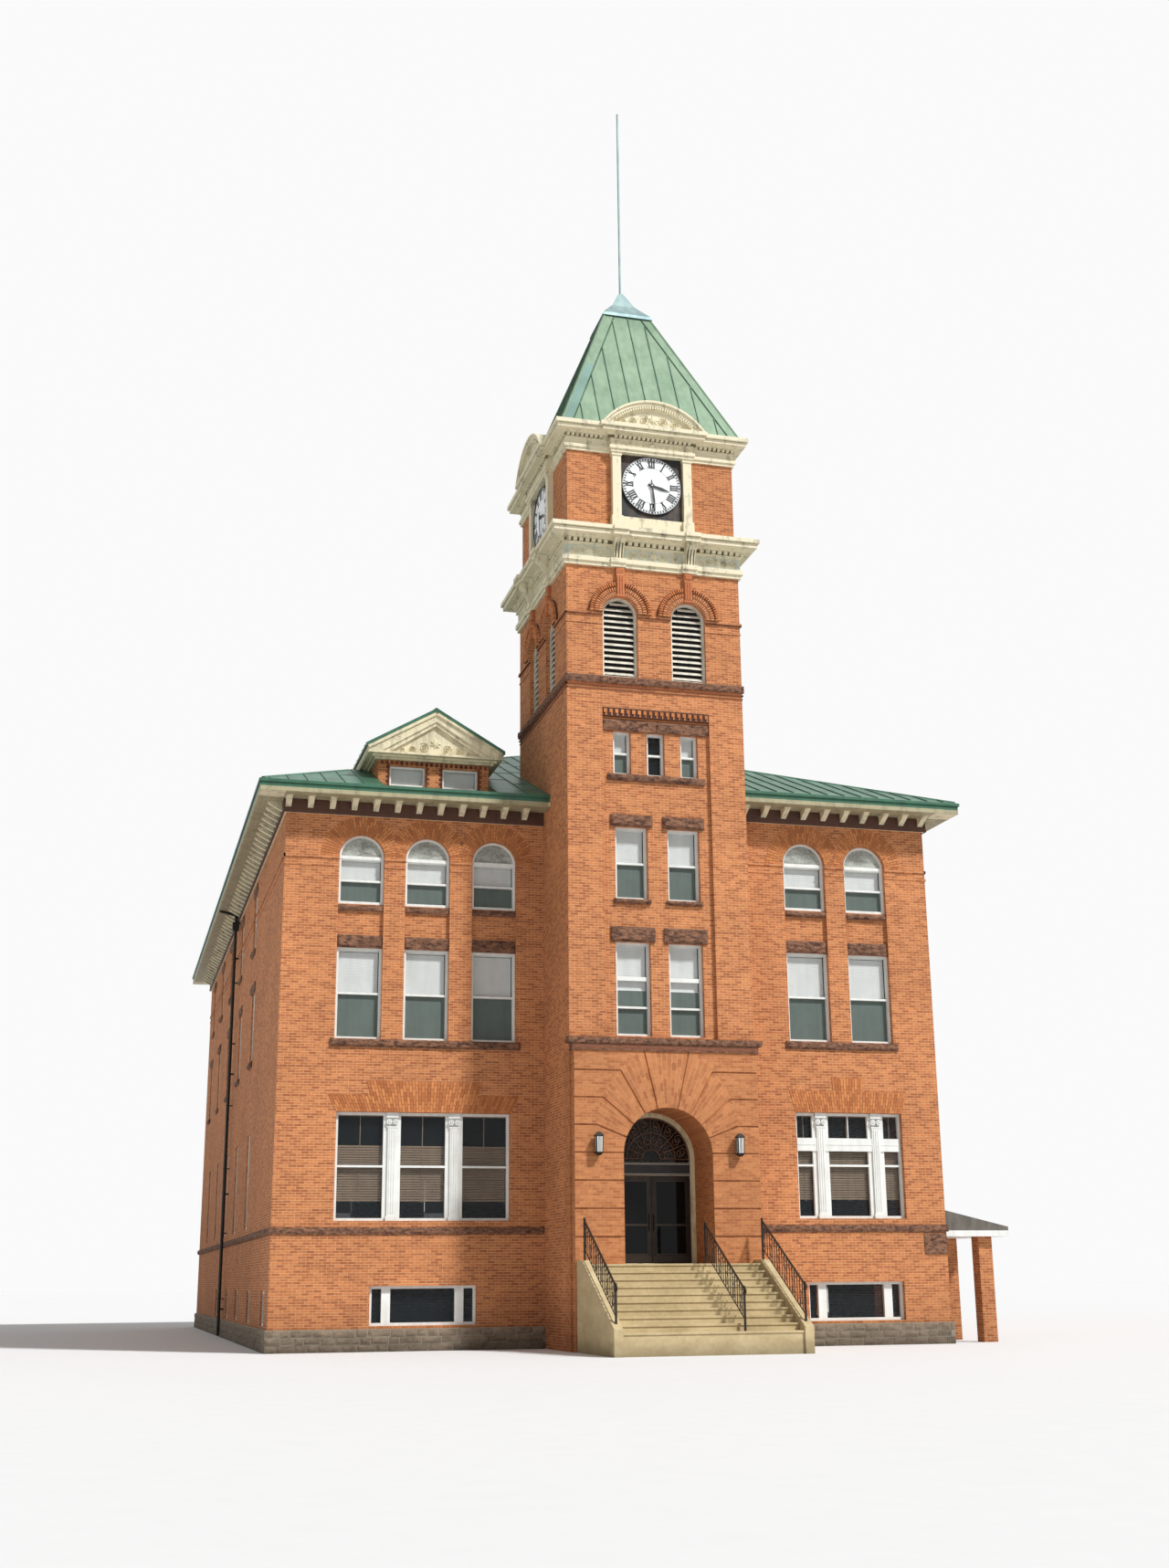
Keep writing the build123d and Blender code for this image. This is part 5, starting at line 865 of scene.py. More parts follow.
for wall, half in CLOCK_SIDES.items():
    u = paired(half + 0.05, 0.135)
    dentils += [blocks(wall, u[np.abs(u) < 1.17], (0.038, 0.20, 0.315, 24.545, 24.615)),
                blocks(wall, u[np.abs(u) > 1.48], (0.038, 0.04, 0.145, 24.545, 24.615))]
    gaps.append(wall_boxes(wall, (-1.30, -half - 0.05, 1.42), (1.30, -1.42, half + 0.05),
                           (0.20, 0.04, 0.04), (0.236, 0.066, 0.066), 24.535, 24.62))
    carved += [relief(wall, -1.15, 1.15, 24.32, 24.52, 0.21, 0.035, leaves, (0.0, 24.42, 0.09)),
               relief(wall, -1.18, 1.18, 24.915, 25.42, 0.36, 0.05, field, (0.0, 25.14, 0.15),
                      lambda u, z: (PEDIMENT_EDGE - np.hypot(u, z - PEDIMENT_CENTRE)) * 40)]
    dentils.append(wedges(wall, 0.0, PEDIMENT_CENTRE, 1.597, 1.672, edges - width, edges + width,
                          0.41, 0.475))
FLUTE = ((0.05, 0.0), (0.14, 0.0), (0.155, 0.116), (0.20, 0.261), (0.29, 0.406), (0.34, 0.499),
         (0.34, 0.58), (0.05, 0.58))
flutes = [rail(wall, u + step - 0.019, u + step + 0.019, FLUTE, z=20.90)
          for wall in TOWER_SIDES for u in CONSOLES for step in (-0.0886, 0.0, 0.0886)]
# Dark cream in the console flutes and in the strips behind the dentils is painted shade in those
# recesses.
recess_shade = painted("painted_shade_cream", "#6F6449", "#3A3326", amount=0.7, roughness=0.8)
# The frieze fields between the consoles are a greyer cream than the mouldings round them: painted
# shade under the cornice.
painted_shade_grey_cream = painted("painted_shade_grey_cream", "#C9CCBA", "#7C7A68", amount=0.5)
new_piece("console_flutes", flutes + gaps, recess_shade)
new_piece("frieze_fields", fields, painted_shade_grey_cream)
new_piece("cornice_dentils", dentils, cornice_cream)
new_piece("carved_friezes", carved, cornice_cream)


# Clock dials. Black enamel on white: minute dots, a thin ring each side of them, and Roman
# numerals that stand with their feet towards the centre, held by a black rim.
CLOCK_LEVEL = 23.24
DIAL_OUT = 0.09
NUMERALS = ("XII", "I", "II", "III", "IIII", "V", "VI", "VII", "VIII", "IX", "X", "XI")
NUMERAL_FEET = 0.560       # their distance from the centre
NUMERAL_HEIGHT = 0.190
THIN, THICK = 0.022, 0.044
# Each letter's strokes as (x0, y0, x1, y1, width), up from 0 to 1, and the way to the next one
LETTERS = {"I": (((0.021, 0, 0.021, 1, THICK),), 0.062),
           "V": (((0, 1, 0.040, 0, THICK), (0.078, 1, 0.040, 0, THIN)), 0.096),
           "X": (((0, 1, 0.074, 0, THICK), (0.074, 1, 0, 0, THIN)), 0.094)}
LETTER_GAP = 0.018
DOT_RING = 0.811


def numeral(text):
    """Strokes of a Roman numeral with its serifs, as (x0, y0, x1, y1, width), across its middle
    and up from its feet, in metres."""
    strokes, x = [], 0.0
    for letter in text:
        own, advance = LETTERS[letter]
        strokes += [(x + x0, y0, x + x1, y1, width) for x0, y0, x1, y1, width in own]
        x += advance
    x -= LETTER_GAP
    strokes += [(-0.012, y, x + 0.012, y, THIN) for y in (0, 1)]
    return [(x0 - x / 2, y0 * NUMERAL_HEIGHT, x1 - x / 2, y1 * NUMERAL_HEIGHT, width)
            for x0, y0, x1, y1, width in strokes]


marks = []
minutes = np.arange(60) * math.pi / 30
dot = np.where(np.arange(60) % 5 == 0, 0.030, 0.0225)
for wall, right in (("clock_front", 1), ("clock_rear", -1), ("clock_left", -1),
                    ("clock_right", 1)):
    axis, _, sign = WALLS[wall]
    out_way = np.zeros(3)
    out_way[1 - axis] = sign
    ends = {THIN: [], THICK: []}
    for hour, text in enumerate(NUMERALS):
        turn = math.pi * hour / 6
        for x0, y0, x1, y1, width in numeral(text):
            pair = []
            for x, y in ((x0, y0), (x1, y1)):
                reach = NUMERAL_FEET + y
                u = reach * math.sin(turn) + x * math.cos(turn)
                z = reach * math.cos(turn) - x * math.sin(turn)
                pair.append(placed(wall, right * u, DIAL_OUT - 0.001, CLOCK_LEVEL + z))
            ends[width].append(pair)
    for width, pairs in ends.items():
        pairs = np.array(pairs)
        marks.append(prisms(pairs[:, 0], pairs[:, 1], bar(width, 0.004), up=out_way))
    marks += [ring(wall, 0.0, CLOCK_LEVEL, inner, outer, DIAL_OUT - 0.001, DIAL_OUT + 0.003, 96,
                   2 * math.pi)
              for inner, outer in ((0.845, 0.853), (0.772, 0.778), (0.535, 0.541))]
    marks.append(wedges(wall, 0.0, CLOCK_LEVEL, DOT_RING - dot, DOT_RING + dot,
                        minutes - dot / DOT_RING, minutes + dot / DOT_RING, DIAL_OUT - 0.001,
                        DIAL_OUT + 0.003))
    marks.append(ring(wall, 0.0, CLOCK_LEVEL, 0.862, 0.884, 0.045, DIAL_OUT + 0.018, 96,
                      2 * math.pi, bevel=0.004))
new_piece("dial_marks", marks, hand_black)


# Windows. Lath blinds behind the glass: white ones drawn to the meeting rail of each sash, brown
# ones in the wide ground-storey windows of the front. Stained panels close the round heads, and
# small pilasters with capitals stand on the posts of the wide windows.
LATH = ((-0.003, -0.024), (0.003, -0.024), (0.006, 0.0), (0.003, 0.024), (-0.003, 0.024))
LATH_PITCH = 0.044
BROWN_PITCH = 0.062
POST = 0.32                # between the lights of a wide window


def half_disc(wall, u, z, radius, back, front):
    """A half-round plate with its straight side down."""
    angles = np.linspace(0, math.pi, 25)
    points = np.concatenate([placed(wall, u + radius * np.cos(angles), out,
                                    z + radius * np.sin(angles)) for out in (back, front)])
    k = len(angles)
    i = np.arange(k)
    j = (i + 1) % k
    return outward(points, [np.stack([i, j, j + k, i + k], -1), i[::-1][None], (i + k)[None]])


def window_rows():
    """Every sash window as wall, centre, width, bottom, top and how far its frame is set in."""
    rows = [(wall, u, 1.22, *levels, 0.13) for wall, bays in ARCHED_BAYS.items() for u in bays
            for levels in ((7.84, 10.27), (11.46, 12.73))]
    rows += [("tower_front", u, *size, 0.23) for u in (-0.725, 0.725)
             for size in ((0.95, 7.75, 10.21), (0.90, 11.35, 13.32))]
    rows += [("tower_front", u, 0.50, 14.76, 15.98, 0.23) for u in (-0.95, 0.95)]
    rows += [(wall, u, 1.0, *levels, 0.05) for wall in ("left", "right")
             for bays, levels in zip(SIDE_BAYS, ((3.20, 5.95), (8.14, 10.27), (11.66, 13.43)))
             for u in bays]
    return rows + [("rear", u, 1.0, *levels, 0.05)
                   for levels in ((3.20, 5.95), (7.84, 10.27), (11.46, 13.33))
                   for u in (-7.2, -3.8, 0.2, 4.2, 6.4)]


def blind(wall, u0, u1, low, high, pitch, out):
    """Laths at equal steps from one level up to another."""
    levels = np.arange(low, high, pitch)[:, None]
    return rail(wall, np.full(levels.shape, u0), u1, LATH, z=levels, out=out)


blind_white = painted("blind_white", "#F0F3F0", "#C4CBC6", amount=0.3, roughness=0.6)
blind_brown = painted("blind_brown", "#8F7A62", "#5E4B3A", amount=0.4, roughness=0.6)
laths, brown_laths, screens = [], [], []
for wall, u, width, low, high, setting in window_rows():
    middle = (low + high) / 2
    wide = width / 2 - 0.085
    lowest = middle + 0.03
    back = -(setting + 0.125)
    laths += [blind(wall, u - wide, u + wide, lowest, high - 0.09, LATH_PITCH, back),
              rail(wall, u - wide, u + wide, bar(0.05, 0.03), z=lowest - 0.05, out=back)]
    screens.append(blocks(wall, u, (width / 2 - 0.065, -(setting + 0.088), -(setting + 0.084),
                                    low + 0.065, middle - 0.022)))
    laths.append(rail(wall, u - wide, u + wide, bar(0.05, 0.06), z=high - 0.09, out=back))
for wall, start, lights in (("front_left", -8.03, (1.32, 1.32, 1.32)),
                            ("front_right", 3.96, (0.57, 1.27, 0.57))):
    for light in lights:
        u0, u1 = start + 0.08, start + light - 0.08
        brown_laths += [blind(wall, u0, u1, 3.72, 5.12, BROWN_PITCH, -0.255),
                        rail(wall, u0, u1, bar(0.05, 0.06), z=5.86, out=-0.255),
                        blocks(wall, start + light / 2, (0.010, -0.25, -0.235, 3.66, 5.88))]
        start += light + POST
new_piece("upper_blinds", laths, blind_white)
new_piece("ground_blinds", brown_laths, blind_brown)

mesh_grey = painted("screen_mesh", "#66736D", "#4C5652", amount=0.4, roughness=0.7)
mesh_grey.node_tree.nodes["Principled BSDF"].inputs["Alpha"].default_value = 0.70
new_piece("sash_screens", screens, mesh_grey)

lunette = quarried("stained_panel", "#BCC2BA", "#5E5C50", 0.45, 0.001, roughness=0.7)
heads, trims = [], []
for wall, bays in ARCHED_BAYS.items():
    for u in bays:
        heads.append(half_disc(wall, u, 12.775, 0.545, -0.16, -0.142))
        trims += [blocks(wall, u, (0.61, -0.16, -0.115, 12.685, 12.775)),
                  ring(wall, u, ARCH_SPRING, 0.55, ARCH_RADIUS, -0.16, -0.118)]
new_piece("lunette_panels", heads, lunette)
for wall, posts in (("front_left", (-6.55, -4.91)), ("front_right", (4.69, 6.28))):
    for u in posts:
        trims.append(blocks(wall, u, (0.115, -0.14, -0.085, 3.30, 5.60),
                            (0.145, -0.14, -0.07, 3.20, 3.32), (0.135, -0.14, -0.075, 5.56, 5.60),
                            (0.155, -0.14, -0.06, 5.82, 5.95)))
        trims += [blocks(wall, u + step, (0.014, -0.12, -0.074, 3.40, 5.52))
                  for step in (-0.06, 0.0, 0.06)]
        trims += [ring(wall, u + side, 5.715, inner, outer, -0.14, front, 16, 2 * math.pi)
                  for side in (-0.085, 0.085)
                  for inner, outer, front in ((0.004, 0.03, -0.045), (0.04, 0.072, -0.055))]
trims.append(blocks("front_right", 5.485, (1.475, -0.16, -0.10, 4.95, 5.29),
                    (1.475, -0.16, -0.09, 5.11, 5.13), (0.012, -0.16, -0.12, 5.29, 5.90)))
new_piece("window_trim", trims, white)


# Roof seams. Standing seams every half metre down each slope, short cross seams staggered from
# pan to pan, and rolled caps along hips and ridges, folded from the roofs' own sheet.
SEAM_PITCH = 0.5
SEAM = ((-0.008, -0.012), (0.008, -0.012), (0.008, 0.022), (0.011, 0.028), (-0.011, 0.028),
        (-0.008, 0.022))
LAP = ((-0.014, -0.01), (0.014, -0.01), (0.012, 0.007), (-0.012, 0.007))
CAP = ((-0.115, -0.055), (0.115, -0.055), (0.035, 0.028), (-0.035, 0.028))
EAVE_LEVEL = 14.55
SLOPE = 0.42
DEEPEST = 10.0             # no slope reaches further in
DORMER = -5.535            # the dormer's middle line
DORMER_BACK = 3.18
# Each eave: where it is, the axis it is measured on, which way is in, and its two ends
EAVES = {"left": (-10.415, 0, 1, -0.925, 31.815), "right": (8.945, 0, -1, -2.695, 31.815),
         "front": (-0.925, 1, 1, -10.415, -0.815), "back": (31.815, 1, -1, -10.415, 8.945),
         "bay_left": (-0.815, 0, 1, -2.695, 31.815), "bay_front": (-2.695, 1, 1, -0.815, 8.945)}
ROOF_BLOCKS = (("left", "right", "front", "back"),
               ("bay_left", "right", "bay_front", "back"))


def roof_plane(x, y):
    """The slope each point lies on, and its distance in from that eave: in each block of the
    roof the nearest eave, and of the blocks the one that stands higher."""
    inside = {name: eave[2] * ((x, y)[eave[1]] - eave[0]) for name, eave in EAVES.items()}
    names = list(EAVES)
    best = []
    for block in ROOF_BLOCKS:
        rows = np.stack([inside[name] for name in block])
        best.append((rows.min(0), np.array([names.index(n) for n in block])[rows.argmin(0)]))
    higher = best[0][0] >= best[1][0]
    depth = np.where(higher, best[0][0], best[1][0])
    plane = np.where(higher, best[0][1], best[1][1])
    covered = (np.abs(x) < 2.52) & (y < 2.82)
    covered |= (x > -7.52) & (x < -3.55) & (y < 3.2)
    return np.where(covered | (depth < 0), -1, plane), depth


def on_slope(name, line, depth):
    """The point of a line up a slope at a depth in from its eave."""
    at, axis, sign = EAVES[name][:3]
    flat = (at + sign * depth, line)
    return (*(flat if axis == 0 else flat[::-1]), EAVE_LEVEL + SLOPE * depth)


def slope_runs(name, line):
    """The free stretches of a line up a slope, as the depths where each starts and ends."""
    depth = np.linspace(0.02, DEEPEST, 500)
    x, y, _ = on_slope(name, np.full(depth.shape, line), depth)
    plane, inside = roof_plane(x, y)
    own = (plane == list(EAVES).index(name)) & (np.abs(inside - depth) < 0.01)
    steps = np.flatnonzero(np.diff(np.concatenate([[0], own.astype(int), [0]])))
    return [(depth[first], depth[last]) for first, last in zip(steps[::2], steps[1::2] - 1)
            if depth[last] - depth[first] >= 0.2]


seams, laps = [], []
for name, (*_, low, high) in EAVES.items():
    for row, line in enumerate(np.arange(low + 0.28, high, SEAM_PITCH)):
        seams += [[on_slope(name, line, end) for end in run] for run in slope_runs(name, line)]
        start = 1.3 + 1.05 * (row % 2) + 0.35 * ((row * 7) % 3)
        for near, far in slope_runs(name, line + SEAM_PITCH / 2):
            laps += [[on_slope(name, line + edge, d) for edge in (0.012, SEAM_PITCH - 0.012)]
                     for d in np.arange(start, far - 0.15, 2.3) if d >= near]
RIDGE = EAVE_LEVEL + SLOPE * 9.68
FRONT_PEAK, BACK_PEAK = (-0.735, 8.755, RIDGE), (-0.735, 22.135, RIDGE)
BAY_PEAK, BAY_END = (4.065, 2.185, 16.60), (4.065, 3.955, 16.60)
caps = np.array([((-10.32, -0.83, 14.59), (-7.75, 1.74, 15.67)),
                 ((-6.29, 3.2, 16.283), FRONT_PEAK), ((-10.32, 31.72, 14.59), BACK_PEAK),
                 (FRONT_PEAK, BACK_PEAK), ((8.85, 31.72, 14.59), BACK_PEAK),
                 ((8.85, -2.60, 14.59), BAY_PEAK), ((2.52, 0.64, 15.951), BAY_PEAK),
                 (BAY_PEAK, BAY_END), (BAY_END, FRONT_PEAK),
                 ((DORMER, 0.0, 17.115), (DORMER, DORMER_BACK, 17.115))])
for y in np.arange(0.35, 3.1, SEAM_PITCH):
    seams += [[(DORMER + 0.05 * side, y, 17.09), (DORMER + 1.95 * side, y, 15.993)]
              for side in (-1, 1)]
seams, laps = np.array(seams), np.array(laps)
made = [prisms(pairs[:, 0], pairs[:, 1], section)
        for pairs, section in ((seams, SEAM), (laps, LAP), (caps, CAP))]
new_piece("roof_seams", made, green_pans)

# Seams of the tower's roof, flashing folded over its hips, a rolled cap on each, and a strip
# bleached by run-off from the metal above.
ROOF_FOOT = 24.95
ROOF_RISE = 4.8
ROOF_TOP = 0.72            # half the width under the metal cap
ROOF_HALF = (2.64, 2.94)   # half its width at the foot, along x and y
FLASHING = 0.34            # sheet folded over each hip, on both of its slopes
WORN_TOP = 0.52            # how far up the strip reaches, of the rise
HIP = ((-0.05, -0.04), (0.05, -0.04), (0.02, 0.022), (-0.02, 0.022))
seams, strips, worn = [], [], []
for along in (0, 1):
    half, other = ROOF_HALF[along], ROOF_HALF[1 - along]
    for u in np.arange(-2.5, 2.6, SEAM_PITCH):
        far = min((half - FLASHING - abs(u)) / (half - ROOF_TOP), 1.0)
        arch = PEDIMENT_CENTRE + math.sqrt(max(1.844 ** 2 - u * u, 0.0))
        near = max((arch - ROOF_FOOT) / ROOF_RISE, 0.0) if abs(u) < 1.5 else 0.0
        if far - near < 0.03:
            continue
        for sign in (-1, 1):
            pair = [(u, sign * (other - (other - ROOF_TOP) * t), ROOF_FOOT + ROOF_RISE * t)
                    for t in (near, far)]
            seams.append(pair if along == 0 else [(y, x, z) for x, y, z in pair])
for along in (0, 1):
    half, other = ROOF_HALF[along], ROOF_HALF[1 - along]
    lean = np.array([ROOF_RISE, other - ROOF_TOP]) / math.hypot(ROOF_RISE, other - ROOF_TOP)
    for side, out, top in ((-1, -1, 1.0), (-1, 1, 1.0), (1, -1, 1.0), (1, 1, 1.0),
                           (-1, -1, WORN_TOP)):
        if along and top < 1.0:
            continue
        rows = []
        for t in (0.0, top):
            edge = half - (half - ROOF_TOP) * t
            for u in (edge, max(edge - FLASHING, 0.40) + (0.05 if top < 1.0 else 0.0)):
                for lift in (-0.01, 0.007 if top < 1.0 else 0.005):
                    reach = out * (other - (other - ROOF_TOP) * t + lift * lean[0])
                    flat = (side * u, reach)
                    rows.append((*(flat if along == 0 else flat[::-1]),
                                 ROOF_FOOT + ROOF_RISE * t + lift * lean[1]))
        if top < 1.0:
            worn.append(hexes([rows]))
        else:
            strips.append(hexes([rows]))
            seams.append([rows[3], rows[7]])
seams = np.array(seams)
hips = np.array([((x * 2.62, y * 2.92, 24.98), (x * 0.73, y * 0.73, 29.74))
                 for x in (-1, 1) for y in (-1, 1)])
strips.append(prisms(hips[:, 0], hips[:, 1], HIP))
tower_seams = sheet_metal("tower_seam_metal", "#5E7E66", "#3E5A48", 5.0)
bleached = sheet_metal("bleached_verdigris", "#6B8A80", "#587569", 0.4)
new_piece("tower_roof_seams", [prisms(seams[:, 0], seams[:, 1], SEAM)], tower_seams)
new_piece("tower_roof_hips", strips, verdigris)
new_piece("tower_roof_worn_strip", worn, bleached)


# Corbel table over the small windows: header bricks set out from a near-black bed, painted
# shadow between and under them, each with a small toe under it, and a thin course below them.
CORBEL_COUNT = 19
CORBEL_HALF = 1.515
step = 2 * CORBEL_HALF / CORBEL_COUNT
u = -CORBEL_HALF + step * (np.arange(CORBEL_COUNT) + 0.5)
table = [blocks("tower_front", u, (0.043, 0.0, 0.024, 16.445, 16.553)),
         blocks("tower_front", u + 0.0225, (0.0175, 0.0, 0.014, 16.370, 16.443)),
         blocks("tower_front", 0.0, (CORBEL_HALF, -0.10, -0.045, 16.305, 16.345))]
new_piece("corbel_table", table, rubbed)
bed = blocks("tower_front", 0.0, (CORBEL_HALF, -0.06, 0.003, 16.350, 16.598))
new_piece("corbel_bed", [bed], painted_shade_joint)

# Courses under the belfry's sill band and its springing, in dark brick: painted shadow under both.
courses = []
for wall, half in TOWER_SIDES.items():
    courses.append(blocks(wall, 0.0, (half + 0.030, -0.01, 0.030, 17.185, 17.225),
                          (half + 0.016, -0.01, 0.016, 17.085, 17.115)))
    courses += [wall_boxes(wall, a, b, 0.0, 0.047, 19.238, 19.268) for a, b in spans(
        -half - 0.047, half + 0.047, [(u, 1.0) for u in BELFRY_PAIR])]
new_piece("painted_shadow_courses", courses, fired("painted_shadow_brick", "#8A5236", "#5A3021"))


# Belfry louvers. Sloping pine blades in an arched frame, open to a dark loft behind.
LOUVER_COUNT = 13
LOUVER_STEP = 0.1685
LOUVER_REACH = 0.438       # half a blade's length, under the arch
BLADE = ((-0.212, 0.040), (-0.125, -0.046), (-0.125, -0.012), (-0.212, 0.062))
levels = 17.62 + LOUVER_STEP * np.arange(LOUVER_COUNT)[:, None]
above = np.maximum(levels + 0.03 - BELFRY_SPRING, 0)
half = np.sqrt(np.maximum(LOUVER_REACH ** 2 - above ** 2, 0))
frames, blades, lofts = [], [], []
for wall in TOWER_SIDES:
    for u in BELFRY_PAIR:
        frames.append(ring(wall, u, BELFRY_SPRING, 0.435, 0.50, -0.23, -0.115))
        frames += [blocks(wall, u + side, (0.0325, -0.23, -0.115, 17.48, BELFRY_SPRING))
                   for side in (-0.4675, 0.4675)]
        frames.append(blocks(wall, u, (0.50, -0.23, -0.10, 17.48, 17.54)))
        blades.append(rail(wall, u - half, u + half, BLADE, z=levels))
        lofts += [blocks(wall, u, (0.45, -0.23, -0.222, 17.5, BELFRY_SPRING)),
                  half_disc(wall, u, BELFRY_SPRING, 0.45, -0.23, -0.222)]
loft_black = painted("loft_shadow", "#0E0D0C", "#1C1916", amount=0.4, roughness=0.95)
blades = new_piece("belfry_blades", frames + blades, louver_white)
new_piece("belfry_loft", lofts, loft_black)
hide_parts("belfry_louvers")


# Eaves. Sawn brackets with an S-shaped underside carry a boarded soffit; a green half-round
# gutter with a rolled rim runs along its edge on all sides.
BRACKET_TOP = 14.25
BRACKET_BACK, BRACKET_FRONT = 0.07, 0.43
t = np.linspace(0, 1, 13)
run = (BRACKET_FRONT - BRACKET_BACK) * (3 * t ** 2 - 2 * t ** 3)
sweep = np.stack([BRACKET_BACK + run + 0.03 * np.sin(2 * math.pi * t), -0.255 + 0.20 * t], -1)
BRACKET = np.concatenate([sweep, [(BRACKET_FRONT, 0.0), (0.055, 0.0), (0.055, -0.255)]])
BRACKET_CAP = ((0.06, -0.035), (0.455, -0.035), (0.465, 0.0), (0.06, 0.0))
GUTTER = ((0.806, 14.475), (0.8155, 14.470), (0.8165, 14.485), (0.8160, 14.53),
          (0.8170, 14.543), (0.8155, 14.553), (0.806, 14.552))
FASCIA = ((0.765, 14.362), (0.7775, 14.362), (0.7775, 14.478), (0.765, 14.478))
TOWER_GAP = 2.505          # the eaves stop at the tower's sides
shapes = []
for low, high in solids_of("eave_brackets"):
    for wall, *_ in wing_walls(0.0):
        axis, face, sign = WALLS[wall]
        outs = sorted((sign * (low[1 - axis] - face), sign * (high[1 - axis] - face)))
        if max(abs(outs[0] - BRACKET_BACK), abs(outs[1] - BRACKET_FRONT)) > 0.02 or (
                high[axis] - low[axis] > 0.2):
            continue
        shapes += [rail(wall, low[axis], high[axis], BRACKET, z=BRACKET_TOP),
                   rail(wall, low[axis] - 0.015, high[axis] + 0.015, BRACKET_CAP, z=BRACKET_TOP)]
        break
bracket_set = new_piece("sawn_brackets", shapes, cream)
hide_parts("eave_brackets")
frieze, boards_under = [], []
for wall, u0, u1 in wing_walls(0.09, TOWER_GAP):
    lanes = np.arange(0.085, 0.75, 0.112)
    boards_under.append(wall_boxes(wall, u0, u1, lanes, lanes + 0.106, 14.236, 14.252))
    frieze.append(wall_boxes(wall, u0, u1, 0.05, (0.101, 0.077), (13.858, 13.932),
                             (13.932, 14.25)))
# The frieze boards between the brackets are dark maroon: painted shade under the eaves.
frieze_shade = painted("frieze_painted_shade", "#4E2C1A", "#26150D", amount=0.6)
# The soffit boards and the edge boards under the gutter take a darker olive cream: painted shade
# under the eaves.
soffit_painted_shade = painted("soffit_painted_shade", "#A29A7A", "#5F583F", amount=0.6)
new_piece("frieze_boards", frieze, frieze_shade)
new_piece("soffit_boards", boards_under, soffit_painted_shade)
gutters, crown = [], []
for wall, u0, u1 in wing_walls(0.815, TOWER_GAP):
    joints = np.arange(u0 + 1.2, u1 - 0.3, 2.4)
    gutters += [rail(wall, u0, u1, GUTTER), rail(wall, u0 + 0.04, u1 - 0.04, FASCIA),
                blocks(wall, joints, (0.02, 0.80, 0.8180, 14.47, 14.554))]
    crown.append(wall_boxes(wall, u0 + 0.04, u1 - 0.04, 0.765, 0.7772, 14.248, 14.362))
dark_green = painted("dark_green_gutter", "#2F6148", "#1A2A20", amount=0.45, roughness=0.4)
new_piece("gutter_front", gutters, dark_green)
new_piece("eave_edge_boards", crown, soffit_painted_shade)


# Dormer. Dentils and toothed jambs of burnt brick round its two lights; a layered cream cornice
# and a gable field pressed with a rosette and leaves.
DORMER_LIGHTS = ((-6.78, -5.775), (-5.295, -4.29))
RAKE = ((0.0, 0.0), (0.055, 0.012), (0.055, 0.05), (0.03, 0.075), (0.03, 0.10), (0.0, 0.10))
RAKE_COUNT = 15            # dentils under each sloping side of the gable


def folded(us, outs, levels):
    """A mirrored pair of blocks about the dormer's middle: between two places across it, each
    with its own two levels, and two places outwards."""
    return [hexes([[(DORMER + side * u, out, z) for u, pair in zip(us, levels) for out in outs
                    for z in pair]]) for side in (-1, 1)]


burnt = fired("burnt_brick", "#7C4630", "#3C231B")
u = np.arange(-7.03, -4.0, 0.139)
teeth = [wall_boxes("dormer", u, u + 0.07, -0.01, 0.035, 15.505, 15.60)]
for left, right in DORMER_LIGHTS:
    for number, z in enumerate(np.arange(14.64, 15.48, COURSE)):
        wide = 0.10 if number % 2 else 0.055
        teeth.append(wall_boxes("dormer", (left - wide, right), (left, right + wide), -0.01,
                                0.008, z, z + 0.060))
new_piece("dormer_dentils", teeth, burnt)
mouldings = [wall_boxes("dormer", -7.40, -3.67, 0.10, 0.345, 15.735, 15.765)]
for side in (-1, 1):
    foot, top = np.array([DORMER + side * 1.86, 15.835]), np.array([DORMER, 16.905])
    ends = [placed("dormer", u, 0.328, z) for u, z in (foot, top)][::-side]
    mouldings.append(prisms(*ends, RAKE))
    u, z = (foot + (top - foot) * np.linspace(0.06, 0.94, RAKE_COUNT)[:, None]).T
    mouldings.append(wall_boxes("dormer", u - 0.03, u + 0.03, 0.28, 0.335, z - 0.075, z - 0.01))
field = mirrored([(0.33, 15.98, 0.17, 1), (0.66, 15.93, 0.12, -1), (0.93, 15.88, 0.08, 1)], DORMER)
mouldings.append(relief("dormer", -6.78, -4.29, 15.80, 16.60, 0.20, 0.05, field,
                        (DORMER, 16.12, 0.16),
                        lambda u, z: (16.60 - 0.643 * np.abs(u - DORMER) - z) * 30))
new_piece("dormer_mouldings", mouldings, cream)
rakes = folded((1.955, 0.0), (-0.03, -0.064), ((15.89, 15.99), (17.02, 17.12)))
new_piece("dormer_rake_flashing", rakes, dark_green)
back = folded((1.88, 0.0), (3.13, 3.185), ((15.60, 15.985), (15.60, 17.045)))
new_piece("dormer_back_gable", back, green_pans)
sides = folded((1.85, 1.90), (0.0, DORMER_BACK), ((15.79, 15.95), (15.79, 15.95)))
new_piece("dormer_side_boards", sides, cream)
shades = [blind("dormer", left + 0.02, right - 0.02, 14.95, 15.46, LATH_PITCH, -0.20)
          for left, right in DORMER_LIGHTS]
new_piece("dormer_blinds", shades, blind_white)


